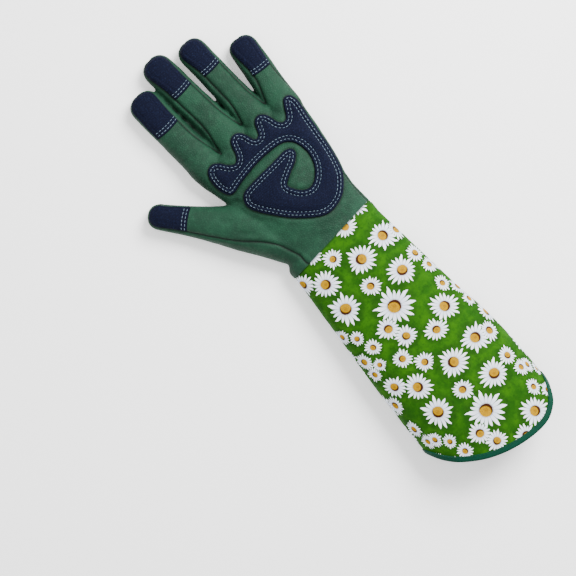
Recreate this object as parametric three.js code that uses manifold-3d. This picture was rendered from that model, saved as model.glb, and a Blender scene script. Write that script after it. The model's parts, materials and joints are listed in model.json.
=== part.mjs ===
// A left rose pruning gauntlet lying on its back: palm up (+Z), fingers towards +Y, thumb towards -X.
// The hand and the cuff are hollow walls of leather and lined print cloth, cut into the panels
// that the real glove is sewn from, with pads, patches, binding and an adjusting strap on them.
import * as THREE from 'three';
import { mergeVertices } from 'three/addons/utils/BufferGeometryUtils.js';
import Module from 'manifold-3d';

const wasm = await Module();
wasm.setup();

// Driving sizes, in millimetres and degrees.
const handLength = 211; // wrist seam, thumb side, to the middle fingertip
const palmWidth = 96; // across the knuckles
const palmThickness = 30; // at the heel of the palm
const cuffLength = 212; // wrist seam to the lowest point of the hem
const cuffWidth = 112; // across the opening, lying
const cuffThickness = 42; // height of the opening, lying
const wristTilt = 8; // the wrist seam rises towards the little finger
const fingerThickness = 20; // at the knuckles
const thumbThickness = 23; // at the thumb's root
const tipRound = 13; // length of a finger's rounded end
const wall = 1.6; // leather, or cloth with its lining
const gap = 0.3; // between neighbouring pieces
const patchThickness = 1; // fingertip patches and knuckle band
const padThickness = 2.4; // foam-backed palm pad
const bindingWidth = 4.2; // tape round the hem and the slit
const bindingThickness = 1;
const slitLength = 92; // up from the hem
const slitMouth = 11; // width of the open slit at the hem
const slitPlace = 0.42; // share of cuffWidth
const strapLength = 53;
const strapWidth = 20;
const strapThickness = 1.4;
const hookThickness = 1;
const bandWidth = 36; // knuckle band, along the hand

// The hand's bottom lies this high, on the knuckle band and the hem's binding.
const restHeight = gap + Math.max(patchThickness, bindingThickness);

// Fingers: across is the root's place as a share of palmWidth, lean is towards the thumb, length is
// from the knuckle line, patch and cap are the lengths of the tip pieces.
const knuckleLine = 0.474; // share of handLength
const fingers = {
  index: { across: -0.427, lean: 6.2, length: 95, width: 27, patch: 38, cap: 31 },
  middle: { across: -0.118, lean: 7.3, length: 111.4, width: 26, patch: 38, cap: 39 },
  ring: { across: 0.151, lean: 4.8, length: 104, width: 24.6, patch: 31.5, cap: 37 },
  little: { across: 0.375, lean: -3.6, length: 80.2, width: 25, patch: 33, cap: 24 },
};

// How far the strips between the fingers show on the palm and on the back, thumb side first.
const strips = {
  index: { palm: [0, 3.6], back: [9, 5] },
  middle: { palm: [4.6, 2.6], back: [3, 6] },
  ring: { palm: [5, 2.6], back: [4, 6.4] },
  little: { palm: [5.4, 2.6], back: [3, 2.8] },
};
const names = Object.keys(fingers);
const [index, middle, ring, little] = names.map((name) => fingers[name]);

// A finger from its root to where its end starts to round: shares of length, width and thickness.
const fingerRows = [
  { along: -0.14, width: 0.42, top: 0.5 },
  { along: 0.12, width: 1.06, top: 1 },
  { along: 0.36, width: 1, top: 0.93 },
  { along: 0.88, width: 1, top: 0.8 },
];

// The thumb leans out from the heel of the palm. Its rows are shares of thumbLength and thumbWidth.
const thumb = { root: [-0.3125, 0.166], lean: 41.6, length: 108.4, width: 29, patch: 34, strip: [3, 0] };
const thumbRows = [
  { along: -0.09, left: -0.8, right: 0.5, top: 1, seam: 0.46 },
  { along: 0.13, left: -0.71, right: 0.62, top: 1.06, seam: 0.38 },
  { along: 0.31, left: -0.65, right: 0.64, top: 1, seam: 0.24 },
  { along: 0.47, left: -0.57, right: 0.49, top: 0.9, seam: 0.16 },
  { along: 0.86, left: -0.46, right: 0.29, top: 0.74, seam: 0.1 },
];

// The palm and the cuff are one run of sections. left and right are the two edges, top is the
// height, as shares of the named sizes. seam is how far the palm leather stays from the thumb
// side's edge, and back how far the print cloth does on the other face, as shares of the width.
const palmRows = [
  { along: 0, left: -0.458, right: 0.441, top: 0.9, seam: 0.165, back: 0.03 },
  { along: 0.028, left: -0.463, right: 0.439, top: 0.86, seam: 0.155, back: 0.03 },
  { along: 0.052, left: -0.43, right: 0.438, top: 0.85, seam: 0.12, back: 0.03 },
  { along: 0.104, left: -0.437, right: 0.427, top: 0.88, seam: 0.08, back: 0.04 },
  { along: 0.19, left: -0.458, right: 0.432, top: 0.97, seam: 0.03, back: 0.03 },
  { along: 0.284, left: -0.479, right: 0.466, top: 1, seam: 0, back: 0.03 },
  { along: 0.38, left: -0.505, right: 0.49, top: 0.92, seam: 0, back: 0.035 },
  { along: 0.45, left: -0.552, right: 0.502, top: 0.8, seam: 0, back: 0.06 },
  { along: 0.52, left: -0.583, right: 0.51, top: 0.7, seam: 0, back: 0.09 },
  { along: 0.56, left: -0.56, right: 0.49, top: 0.52, seam: 0, back: 0.09 },
];
const cuffRows = [
  { along: -1.06, left: -0.44, right: 0.553, top: 1.02 },
  { along: -0.85, left: -0.442, right: 0.553, top: 1 },
  { along: -0.71, left: -0.446, right: 0.547, top: 0.97 },
  { along: -0.57, left: -0.44, right: 0.527, top: 0.92 },
  { along: -0.425, left: -0.43, right: 0.482, top: 0.86 },
  { along: -0.14, left: -0.406, right: 0.411, top: 0.73 },
];

// Elastic gathers the back of the wrist into ridges, from and to as shares of handLength.
const gathers = { from: 0.06, to: 0.18, count: 3, depth: 1.3 };

// The hem of the opening, from the thumb side to the other, as shares of cuffWidth and cuffLength.
const hemPoints = [
  [-0.46, -0.8], [-0.405, -0.855], [-0.34, -0.896], [-0.25, -0.93], [-0.134, -0.962], [0, -0.985],
  [0.134, -0.997], [0.268, -1], [0.375, -0.99], [0.464, -0.96], [0.518, -0.92], [0.549, -0.877],
  [0.57, -0.82],
];

// The palm pad: a crowned band over the knuckles that turns down the little-finger side and round
// the heel, and ends in a tongue. Points are shares of palmWidth and handLength.
const padPoints = [
  [-0.427, 0.396], [-0.313, 0.408], [-0.208, 0.419], [-0.104, 0.427], [0, 0.431], [0.104, 0.431],
  [0.177, 0.424], [0.229, 0.408], [0.26, 0.384], [0.276, 0.355], [0.276, 0.322], [0.25, 0.284],
  [0.198, 0.251], [0.135, 0.232], [0.083, 0.232], [0.031, 0.246], [-0.01, 0.27], [-0.026, 0.289],
  [0, 0.303], [0.063, 0.32], [0.146, 0.341], [0.193, 0.363], [0.2, 0.381], [0.177, 0.393],
  [0.125, 0.398], [0, 0.391], [-0.125, 0.386], [-0.26, 0.379], [-0.344, 0.37], [-0.385, 0.346],
  [-0.391, 0.318], [-0.354, 0.284], [-0.281, 0.242], [-0.188, 0.194], [-0.083, 0.154], [0.021, 0.123],
  [0.104, 0.111], [0.177, 0.114], [0.26, 0.128], [0.333, 0.156], [0.4, 0.199], [0.43, 0.246],
  [0.452, 0.308], [0.464, 0.379], [0.468, 0.45], [0.464, 0.512], [0.445, 0.543], [0.422, 0.555],
  [0.385, 0.54], [0.354, 0.509], [0.313, 0.491], [0.26, 0.488], [0.219, 0.512], [0.182, 0.552],
  [0.141, 0.569], [0.109, 0.557], [0.089, 0.526], [0.063, 0.509], [0.021, 0.502], [-0.021, 0.517],
  [-0.063, 0.547], [-0.109, 0.566], [-0.146, 0.552], [-0.167, 0.521], [-0.193, 0.491], [-0.24, 0.479],
  [-0.292, 0.488], [-0.344, 0.517], [-0.396, 0.531], [-0.448, 0.526], [-0.484, 0.505], [-0.495, 0.469],
  [-0.479, 0.427],
];

// The knuckle band's lower edge on the back, and the strap's root on the cuff, as shares.
const bandStart = 0.29; // of handLength
const strapRoot = { across: 0.5, along: -0.71, lean: 146 };
const hookOffset = 8; // the hook patch shows beside the strap
const hookStart = 16; // and starts this far along it
const bandRise = 0.035; // slope of the knuckle band, towards the little finger

const far = 400; // past every edge of the glove
const wristReach = 20; // past the wrist seam
const bellyShare = 0.42; // the widest height of a section
const topRound = 2.3; // roundness of a section's upper half, where 2 is an ellipse
const restRound = 2.9; // and of its lower half, pressed flat
const handRestRound = 5; // and of the hand's lower half, flatter still
const slitSideRound = 2; // and of the cuff's lower half on the slit's side
const slitSideLift = 2.4; // that side clears the surface by this, for the strap under it
const slitSideRamp = 4; // and reaches this within one part in so many of the half width
const pressedIn = 1.06; // the lower half reaches past the surface it rests on, and is cut flat there
const ringSides = 14;
const bodyRingSides = 18;
const seamFloor = restHeight + fingerThickness * 0.34; // palm pieces lie above it, back pieces below
const padPointCount = 58;

// Converts a closed three.js geometry to a solid that can be cut and joined.
function solidOf(geometry) {
  const plain = new THREE.BufferGeometry().setAttribute('position', geometry.getAttribute('position'));
  if (geometry.index) plain.setIndex(geometry.index);
  const merged = mergeVertices(plain, 1e-4);
  return new wasm.Manifold(
    new wasm.Mesh({
      numProp: 3,
      vertProperties: new Float32Array(merged.attributes.position.array),
      triVerts: new Uint32Array(merged.index.array),
    }),
  );
}

// Converts a solid back to a three.js geometry.
function geometryOf(solid) {
  const mesh = solid.getMesh();
  const geometry = new THREE.BufferGeometry();
  const positions = new Float32Array(mesh.numVert * 3);
  for (let i = 0; i < mesh.numVert; i++) {
    positions.set(mesh.vertProperties.subarray(i * mesh.numProp, i * mesh.numProp + 3), i * 3);
  }
  geometry.setAttribute('position', new THREE.BufferAttribute(positions, 3));
  geometry.setIndex(new THREE.BufferAttribute(new Uint32Array(mesh.triVerts), 1));
  return geometry;
}

// A closed ring round one section: wide and rounded above, pressed flat below.
function roundRing(row, floor, sides) {
  const centre = (row.left + row.right) / 2;
  const half = (row.right - row.left) / 2;
  const belly = floor + (row.top - floor) * bellyShare;
  return Array.from({ length: sides }, (_, k) => {
    const angle = (2 * Math.PI * (k + 0.5)) / sides;
    const c = Math.cos(angle);
    const s = Math.sin(angle);
    const lowRound = c > 0 && row.slitSide ? slitSideRound : (row.low ?? restRound);
    const round = s > 0 ? topRound : lowRound;
    const x = centre + half * Math.sign(c) * Math.abs(c) ** (2 / round);
    const rise = Math.abs(s) ** (2 / round);
    const z = s > 0 ? belly + (row.top - belly) * rise : belly - (belly - floor) * pressedIn * rise;
    const share = Math.min(1, Math.max(0, (slitSideRamp * (x - centre)) / half));
    const lift = row.slitSide ? slitSideLift * share : (row.lift ?? 0);
    return [x, Math.max(z, floor + lift)];
  });
}

// A tall box section, for cutting along a tube's plan.
function tallRing(row) {
  return [[row.right, -far], [row.right, far], [row.left, far], [row.left, -far]];
}

// A closed tube through sections along +Y, turned by lean and set at root.
function loft(rings, stations, root, lean) {
  const sides = rings[0].length;
  const positions = [];
  const faces = [];
  rings.forEach((points, i) => points.forEach(([x, z]) => positions.push(x, stations[i], z)));
  for (let i = 0; i + 1 < rings.length; i++) {
    for (let k = 0; k < sides; k++) {
      const a = i * sides + k;
      const b = i * sides + ((k + 1) % sides);
      faces.push(a, a + sides, b, b, a + sides, b + sides);
    }
  }
  const last = (rings.length - 1) * sides;
  for (let k = 1; k + 1 < sides; k++) {
    faces.push(0, k, k + 1);
    faces.push(last, last + k + 1, last + k);
  }
  const geometry = new THREE.BufferGeometry();
  geometry.setAttribute('position', new THREE.Float32BufferAttribute(positions, 3));
  geometry.setIndex(faces);
  geometry.rotateZ(THREE.MathUtils.degToRad(lean));
  geometry.translate(root[0], root[1], 0);
  return solidOf(geometry);
}

// Rows that round off the end of a finger, from its last full section.
function roundedEnd(last, length) {
  const start = length - tipRound;
  return [0, 0.6, 0.92].map((share) => {
    const plan = (1 - share ** 2.5) ** (1 / 2.5);
    const height = 0.45 + 0.55 * (1 - share ** 2) ** 0.5;
    const centre = (last.left + last.right) / 2;
    const half = ((last.right - last.left) / 2) * plan;
    return {
      along: start + share * tipRound,
      left: centre - half,
      right: centre + half,
      top: last.top * height,
    };
  });
}

function fingerSections(finger) {
  const rows = fingerRows.map((row) => ({
    along: row.along * (finger.length - tipRound),
    left: (-row.width * finger.width) / 2,
    right: (row.width * finger.width) / 2,
    top: row.top * fingerThickness,
  }));
  const last = { ...rows[rows.length - 1], top: rows[rows.length - 1].top * 0.97 };
  return [...rows, ...roundedEnd(last, finger.length)];
}

function thumbSections() {
  const rows = thumbRows.map((row) => ({
    along: row.along * thumb.length,
    left: row.left * thumb.width,
    right: row.right * thumb.width,
    top: row.top * thumbThickness,
    seam: row.seam * thumb.width,
  }));
  const last = rows[rows.length - 1];
  return [...rows, ...roundedEnd(last, thumb.length).map((row) => ({ ...row, seam: last.seam }))];
}

// The row at a place along a table of rows, with every column worked out between its neighbours.
function rowAt(rows, along) {
  const next = rows.findIndex((row) => row.along > along);
  const [a, b] = [rows[next - 1], rows[next]];
  const share = (along - a.along) / (b.along - a.along);
  return Object.fromEntries(Object.keys(a).map((key) => [key, a[key] + (b[key] - a[key]) * share]));
}

// The palm's rows, with one for the foot and one for the top of each gather at the wrist.
function gatheredRows() {
  const step = (gathers.to - gathers.from) / (gathers.count * 2);
  const folds = Array.from({ length: gathers.count * 2 + 1 }, (_, i) => ({
    ...rowAt(palmRows, gathers.from + i * step),
    lift: i % 2 ? gathers.depth : 0,
  }));
  const plain = palmRows.filter((row) => row.along < gathers.from - step || row.along > gathers.to + step);
  return [...plain, ...folds].sort((a, b) => a.along - b.along);
}

function bodySections() {
  const cuff = cuffRows.map((row) => ({
    along: row.along * cuffLength,
    left: row.left * cuffWidth,
    right: row.right * cuffWidth,
    top: row.top * cuffThickness,
    seam: 0,
    back: 0,
    slitSide: true,
  }));
  const palm = gatheredRows().map((row) => ({
    along: row.along * handLength,
    left: row.left * palmWidth,
    right: row.right * palmWidth,
    top: row.top * palmThickness,
    seam: row.seam * palmWidth,
    back: row.back * palmWidth,
    low: handRestRound,
    lift: row.lift ?? 0,
  }));
  return [...cuff, ...palm];
}

const fingerRoot = (finger) => [finger.across * palmWidth, knuckleLine * handLength];
const thumbRoot = [thumb.root[0] * palmWidth, thumb.root[1] * handLength];

// One tube of the glove, with its skin moved out by grow.
function roundTube(sections, root, lean, grow, sides = ringSides) {
  const rings = sections.map((row) => {
    const top = restHeight + row.top + grow;
    return roundRing({ ...row, left: row.left - grow, right: row.right + grow, top }, restHeight - grow, sides);
  });
  const end = sections[sections.length - 1].along;
  const stations = sections.map((row) => row.along + (row.along > end - tipRound ? grow : 0));
  return loft(rings, stations, root, lean);
}

const bodyTube = (grow) => roundTube(bodySections(), [0, 0], 0, grow, bodyRingSides);

// The whole glove as one filled form, with its skin moved out by grow.
function gloveForm(grow) {
  let form = bodyTube(grow).add(roundTube(thumbSections(), thumbRoot, thumb.lean, grow));
  for (const name of names) {
    const finger = fingers[name];
    form = form.add(roundTube(fingerSections(finger), fingerRoot(finger), finger.lean, grow));
  }
  return form;
}

// A tall cutter along one tube's plan, set in from its two edges and from its end.
function tallTube(sections, root, lean, insetLeft, insetRight, insetEnd) {
  const rows = sections.map((row) => {
    const left = row.left + insetLeft(row);
    const right = row.right - insetRight;
    const middle = (left + right) / 2;
    return { left: Math.min(left, middle - 0.5), right: Math.max(right, middle + 0.5), along: row.along };
  });
  const end = rows[rows.length - 1].along;
  const stations = rows.map((row) => row.along - (row.along > end - tipRound ? insetEnd : 0));
  return loft(rows.map(tallRing), stations, root, lean);
}

const tipInset = 2.6; // the palm and back leather stop short of the fingertips
const ulnarInset = 2.6; // and short of the little-finger edge
const outside = -3; // a cutter's edge past the glove's, where the leather wraps round

// A cutter over one finger's plan, set in by the two strips beside it.
function fingerPlan(finger, [leftStrip, rightStrip], insetEnd) {
  const sections = fingerSections(finger);
  return tallTube(sections, fingerRoot(finger), finger.lean, () => leftStrip, rightStrip, insetEnd);
}

// The plan of the palm leather, all heights.
function palmPlan(grow) {
  const bodyInset = (row) => (row.seam > 0 ? row.seam : outside) - grow;
  const thumbInset = (row) => row.seam - grow;
  let plan = tallTube(bodySections(), [0, 0], 0, bodyInset, ulnarInset - grow, tipInset - grow);
  const thumbPlan = tallTube(
    thumbSections(), thumbRoot, thumb.lean, thumbInset, outside - grow, tipInset - grow,
  );
  plan = plan.add(thumbPlan);
  for (const name of names) {
    const [leftStrip, rightStrip] = strips[name].palm;
    const insets = [(leftStrip > 0 ? leftStrip : outside) - grow, rightStrip - grow];
    plan = plan.add(fingerPlan(fingers[name], insets, tipInset - grow));
  }
  return plan;
}

// The plan of the print cloth and the leather caps on the back of the hand, all heights.
function backPlan(grow) {
  const bodyInset = (row) => row.back - grow;
  let plan = tallTube(bodySections(), [0, 0], 0, bodyInset, ulnarInset - grow, tipInset - grow);
  for (const name of names) {
    const insets = strips[name].back.map((strip) => strip - grow);
    plan = plan.add(fingerPlan(fingers[name], insets, tipInset - grow));
  }
  return plan;
}

// An upright prism over a closed plan outline.
function prism(points, low = -far, high = far) {
  const shape = new THREE.Shape(points.map(([x, y]) => new THREE.Vector2(x, y)));
  const geometry = new THREE.ExtrudeGeometry(shape, { depth: high - low, bevelEnabled: false });
  geometry.translate(0, 0, low);
  return solidOf(geometry);
}

// A box over the whole glove between two heights.
const layer = (low, high) => prism([[-far, -far], [far, -far], [far, far], [-far, far]], low, high);

// A smooth run of points through a few, closed or open.
function smooth(points, count, closed) {
  const through = points.map(([x, y]) => new THREE.Vector3(x, y, 0));
  const curve = new THREE.CatmullRomCurve3(through, closed, 'centripetal');
  const run = curve.getSpacedPoints(count).map((p) => [p.x, p.y]);
  return closed ? run.slice(0, -1) : run;
}

// A run of points moved sideways, to the left of its direction.
function offsetRun(points, distance) {
  return points.map(([x, y], i) => {
    const [ax, ay] = points[Math.max(i - 1, 0)];
    const [bx, by] = points[Math.min(i + 1, points.length - 1)];
    const length = Math.hypot(bx - ax, by - ay);
    return [x - ((by - ay) / length) * distance, y + ((bx - ax) / length) * distance];
  });
}

// The point at a share of a tube's length, with a sideways offset, in the glove's plan.
function placed(root, lean, across, along) {
  const turn = THREE.MathUtils.degToRad(lean);
  return [
    root[0] + across * Math.cos(turn) - along * Math.sin(turn),
    root[1] + across * Math.sin(turn) + along * Math.cos(turn),
  ];
}

// Everything past a line across a tube, towards its end.
function beyond(root, lean, along) {
  const corners = [[-far, along], [far, along], [far, far], [-far, far]];
  return prism(corners.map(([across, y]) => placed(root, lean, across, y)));
}

// The slanted wrist seam: what lies on the hand's side of it, moved down by shift.
function wristSide(shift) {
  const rise = Math.tan(THREE.MathUtils.degToRad(wristTilt));
  const start = palmRows[0].left * palmWidth;
  const height = (x) => (x - start) * rise - shift;
  return prism([[-far, height(-far)], [far, height(far)], [far, far], [-far, far]]);
}

// What lies above the hem line in plan, with the line moved down by shift.
function aboveHem(shift) {
  const run = smooth(hemPoints.map(([x, y]) => [x * cuffWidth, y * cuffLength]), 20, false);
  const line = offsetRun(run, -shift);
  const first = line[0];
  const last = line[line.length - 1];
  return prism([[-far, first[1]], ...line, [far, last[1]], [far, far], [-far, far]]);
}

// The V of the slit in the cuff's underside, with its edges moved out by spread.
function slitCut(spread) {
  const x = slitPlace * cuffWidth;
  const apex = -cuffLength * 0.955 + slitLength;
  const foot = -cuffLength * 1.2;
  const half = (slitMouth / 2) * ((apex - foot) / slitLength);
  const slope = half / (apex - foot);
  const reach = spread * Math.hypot(1, slope);
  const blunt = slitMouth * 0.12;
  const top = apex + spread;
  return prism(
    [
      [x - blunt - reach, top],
      [x - blunt - half - reach, foot],
      [x + blunt + half + reach, foot],
      [x + blunt + reach, top],
    ],
    -far,
    restHeight + cuffThickness * bellyShare * 0.8,
  );
}

const skin = gloveForm(0);
const hollow = gloveForm(-wall);
const handWall = skin.subtract(hollow).intersect(wristSide(0));
const above = layer(seamFloor, far);
const below = layer(-far, seamFloor - gap);

// Plan regions that share out the side walls between the strips.
const axisPoint = (finger, along) => placed(fingerRoot(finger), finger.lean, 0, along);
const fingertip = (finger) => axisPoint(finger, finger.length + tipRound);
const fingerHeel = (finger) => axisPoint(finger, -fingerRoot(finger)[1] - wristReach);
const betweenFingers = (first, second) =>
  prism([axisPoint(first, tipRound), axisPoint(second, tipRound), fingertip(second), fingertip(first)]);
const besideFinger = (finger, edge) =>
  prism([fingertip(finger), fingerHeel(finger), [edge, -wristReach], [edge, far]]);
const indexSide = besideFinger(index, -far);
const littleSide = besideFinger(little, far);

// What lies past the line that runs out from the thumb's crotch, on the index finger's side.
const thumbCrotch = [-0.5 * palmWidth, 0.385 * handLength];
function aboveThumb(shift) {
  const [x, y] = [thumbCrotch[0], thumbCrotch[1] + shift];
  return prism([[x, y], [far, y], [far, 2 * far], [x - far, y + far]]);
}

const palmCut = palmPlan(0);
const backCut = backPlan(0);
const palmClear = palmPlan(gap).intersect(layer(seamFloor - gap, far));
const backClear = backPlan(gap).intersect(layer(-far, seamFloor));
const sides = handWall.subtract(palmClear).subtract(backClear);

// Keeps the piece itself, without the crumbs that thin cuts leave.
function largest(solid) {
  return solid.decompose().reduce((best, part) => (part.volume() > best.volume() ? part : best));
}

const pieces = new Map();
const put = (name, solid, material) => pieces.set(name, { solid: largest(solid), material });

// Materials, from the photograph.
const finish = (color, roughness) => new THREE.MeshStandardMaterial({ color, roughness, metalness: 0 });
const leather = finish(0x3c6e4c, 0.75);
const darkLeather = finish(0x1f4a33, 0.75);
const navy = finish(0x1c2547, 0.85);
const print = finish(0x4a8a1c, 0.7);
const tape = finish(0x12523f, 0.7);
const hook = finish(0x15161b, 0.95);

// The palm leather covers the fingers' fronts and wraps round the index finger's outer side.
const palmTop = handWall.intersect(palmCut).intersect(above);
const indexWrap = handWall.intersect(indexSide).intersect(aboveThumb(gap)).subtract(backClear);
put('palm_panel', palmTop.add(indexWrap), leather);

// The strips on the sides, and the thumb's outer side and back.
put('thumb_back', sides.intersect(indexSide).subtract(aboveThumb(0)), leather);
for (const [first, second] of [['index', 'middle'], ['middle', 'ring'], ['ring', 'little']]) {
  const between = betweenFingers(fingers[first], fingers[second]);
  put(`fourchette_${first}_${second}`, sides.intersect(between), leather);
}
put('little_side_strip', sides.intersect(littleSide), leather);

// The back: print cloth from the wrist to the middle of the fingers, then a leather cap on each.
const backWall = handWall.intersect(backCut).intersect(below);
let backCloth = backWall;
for (const name of names) {
  const finger = fingers[name];
  const edge = finger.length - finger.cap;
  const lane = fingerPlan(finger, [0, 0], 0);
  const wideLane = fingerPlan(finger, [-0.5, -0.5], -1);
  const past = (shift) => beyond(fingerRoot(finger), finger.lean, edge + shift);
  put(`${name}_cap`, backWall.intersect(lane).intersect(past(gap)), leather);
  backCloth = backCloth.subtract(past(0).intersect(wideLane));
}
put('back_panel', backCloth, print);

// Fingertip patches, the palm pad and the knuckle band lie on the wall.
const onSkin = gloveForm(gap);
const patchForm = gloveForm(gap + patchThickness).subtract(onSkin);
const padForm = gloveForm(gap + padThickness).subtract(onSkin);
const patchEdge = 2; // a patch stops this far from an edge that the leather wraps round
const patchStrips = (shown) => shown.map((width) => Math.max(width, patchEdge) + gap);
for (const name of names) {
  const finger = fingers[name];
  const plan = fingerPlan(finger, patchStrips(strips[name].palm), tipInset);
  const end = beyond(fingerRoot(finger), finger.lean, finger.length - finger.patch);
  put(`${name}_patch`, patchForm.intersect(plan).intersect(above).intersect(end), navy);
}
const [thumbStrip, crotchStrip] = patchStrips(thumb.strip);
const thumbLane = tallTube(
  thumbSections(), thumbRoot, thumb.lean, () => thumbStrip, crotchStrip, tipInset,
);
const thumbEnd = beyond(thumbRoot, thumb.lean, thumb.length - thumb.patch);
put('thumb_patch', patchForm.intersect(thumbLane).intersect(above).intersect(thumbEnd), navy);

const padOutline = smooth(padPoints.map(([x, y]) => [x * palmWidth, y * handLength]), padPointCount, true);
put('palm_pad', padForm.intersect(prism(padOutline)).intersect(above), navy);

const bandLine = (y) => [[-far, y - far * bandRise], [far, y + far * bandRise]];
const bandLow = bandStart * handLength;
const bandStrip = prism([...bandLine(bandLow), ...bandLine(bandLow + bandWidth).reverse()]);
put('knuckle_band', patchForm.intersect(backPlan(-gap)).intersect(bandStrip).intersect(below), darkLeather);

// The cuff: a palm-side and a back-side panel, joined at the thumb's edge and along the slit's line.
const cuffWall = bodyTube(0).subtract(bodyTube(-wall));
const cuffOpen = cuffWall.subtract(wristSide(gap)).intersect(aboveHem(0)).subtract(slitCut(0));
const cuffSeam = restHeight + cuffThickness * 0.3;
const slitLine = slitPlace * cuffWidth;
function backSide(shift) {
  const edge = slitLine - shift;
  return prism([[-far, -far], [edge, -far], [edge, far], [-far, far]], -far, cuffSeam - shift);
}
put('cuff_back', cuffOpen.intersect(backSide(gap)), print);
put('cuff_palm', cuffOpen.subtract(backSide(0)), print);

// The tape folds over the hem and up both edges of the slit.
const tapeReach = gap + bindingThickness;
const tapeForm = bodyTube(tapeReach).subtract(bodyTube(-wall - tapeReach)).intersect(aboveHem(tapeReach));
const hemBand = tapeForm.subtract(aboveHem(-bindingWidth));
const slitBand = tapeForm.intersect(slitCut(bindingWidth));
const clothForm = bodyTube(gap).subtract(bodyTube(-wall - gap));
const clothRoom = clothForm.intersect(aboveHem(gap)).subtract(slitCut(-gap));
put('hem_binding', hemBand.add(slitBand).subtract(clothRoom).subtract(slitCut(-tapeReach)), tape);

// The strap crosses the slit from its outer edge, over a hook patch on the back panel.
const strapStart = [strapRoot.across * cuffWidth, strapRoot.along * cuffLength];
function tab(inset, sideways, start) {
  const radius = strapWidth / 2 - inset;
  const neck = strapLength - strapWidth / 2;
  const turns = Array.from({ length: 9 }, (_, i) => (Math.PI * i) / 8);
  const outline = [
    [radius, start + inset],
    ...turns.map((angle) => [radius * Math.cos(angle), neck + radius * Math.sin(angle)]),
    [-radius, start + inset],
  ];
  const plan = outline.map(([across, along]) => placed(strapStart, strapRoot.lean, across + sideways, along));
  return prism(plan, 0, cuffSeam);
}
const strapFloor = tapeReach + gap;
const strapForm = bodyTube(strapFloor + strapThickness).subtract(bodyTube(strapFloor));
put('strap_tab', strapForm.intersect(tab(bindingWidth + gap, 0, 0)), print);
put('strap_binding', strapForm.intersect(tab(0, 0, 0)).subtract(tab(bindingWidth, 0, 0)), tape);
const hookForm = bodyTube(gap + hookThickness).subtract(bodyTube(gap));
const hookPlan = tab(1, hookOffset, hookStart).intersect(aboveHem(-bindingWidth - gap));
put('hook_patch', hookForm.intersect(hookPlan).subtract(slitCut(bindingWidth + gap)), hook);

// The finished glove, with its origin under the middle of its outline.
const glove = new THREE.Group();
for (const [name, { solid, material }] of pieces) {
  const mesh = new THREE.Mesh(geometryOf(solid), material);
  mesh.name = name;
  glove.add(mesh);
}
const box = new THREE.Box3().setFromObject(glove);
const centre = box.getCenter(new THREE.Vector3());
glove.position.set(-centre.x, -centre.y, -box.min.z);

export default glove;
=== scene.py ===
import json
import math

import bpy
import numpy as np
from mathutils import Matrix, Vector, noise
from mathutils.bvhtree import BVHTree
from mathutils.kdtree import KDTree

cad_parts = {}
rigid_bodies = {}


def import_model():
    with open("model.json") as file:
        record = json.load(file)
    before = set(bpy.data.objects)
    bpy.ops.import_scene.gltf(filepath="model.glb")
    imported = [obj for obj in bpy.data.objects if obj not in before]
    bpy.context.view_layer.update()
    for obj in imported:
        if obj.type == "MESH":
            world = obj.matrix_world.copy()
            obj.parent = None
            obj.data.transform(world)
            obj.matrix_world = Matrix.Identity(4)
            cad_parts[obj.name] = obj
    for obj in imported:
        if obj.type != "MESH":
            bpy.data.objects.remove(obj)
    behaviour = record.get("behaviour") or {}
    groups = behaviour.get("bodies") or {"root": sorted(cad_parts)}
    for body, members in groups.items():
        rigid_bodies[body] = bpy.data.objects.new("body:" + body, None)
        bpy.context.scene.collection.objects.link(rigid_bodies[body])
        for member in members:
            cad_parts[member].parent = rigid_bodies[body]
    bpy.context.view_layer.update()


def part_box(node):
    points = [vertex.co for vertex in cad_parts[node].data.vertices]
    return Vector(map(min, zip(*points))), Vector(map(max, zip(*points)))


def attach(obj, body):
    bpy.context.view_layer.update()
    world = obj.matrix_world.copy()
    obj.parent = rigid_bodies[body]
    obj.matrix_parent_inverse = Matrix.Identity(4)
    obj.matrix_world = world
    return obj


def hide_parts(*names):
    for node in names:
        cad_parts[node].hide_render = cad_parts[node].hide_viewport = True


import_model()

MM = 0.001

# Sizes of the glove.
HAND_LENGTH = 211.0
PALM_WIDTH = 96.0
PALM_THICKNESS = 30.0
CUFF_LENGTH = 212.0
CUFF_WIDTH = 112.0
CUFF_THICKNESS = 42.0
WRIST_TILT = math.tan(math.radians(8))
FINGER_THICKNESS = 20.0
THUMB_THICKNESS = 23.0
TIP_ROUND = 13.0
WALL = 1.6
GAP = 0.3
REST_HEIGHT = 1.3
PATCH_THICKNESS = 1.0
BINDING_WIDTH = 4.2
BINDING_THICKNESS = 1.0
KNUCKLE_LINE = 100.0
TIP_INSET = 1.7
SEAM_HEIGHT = 8.1
WRIST_EDGE = -0.458 * PALM_WIDTH
THUMB_SEAM = 81.2
SKIN_MESH = 1.15

# Sections: how square they are above, how high they are widest, and how square below.
TOP_ROUND = 2.3
BELLY = 0.42
FINGER_ROUND = 2.9
PALM_ROUND = 5.0

# The knuckle band runs between two lines with a slight slope.
BAND_LOW, BAND_HIGH, BAND_SLOPE = 61.2, 97.2, 0.035

# The rows of thread lie this far inside each piece's edge.
PAD_THREADS = (2.2, 4.7)
PATCH_THREADS = (2.0, 4.6)
BAND_THREADS = (2.0, 4.4)
CAP_THREADS = (1.8, 4.2)

# The slit on the underside: its place, its ends and its half width at the apex, and how much that grows.
SLIT_ACROSS, SLIT_APEX, SLIT_FOOT = 47.04, -110.5, -254.4
SLIT_HALF, SLIT_SPREAD = 1.32, 7.3

# The strap lies slantwise over the slit.
STRAP = dict(root=(56.0, -150.5), lean=146.0, length=53.0, half=10.0)

# Each tape: half the thickness of the cloth inside it, and its own thickness.
HEM_TAPE = (WALL / 2, BINDING_THICKNESS - 0.05)
STRAP_TAPE = (0.62, 0.42)

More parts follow.
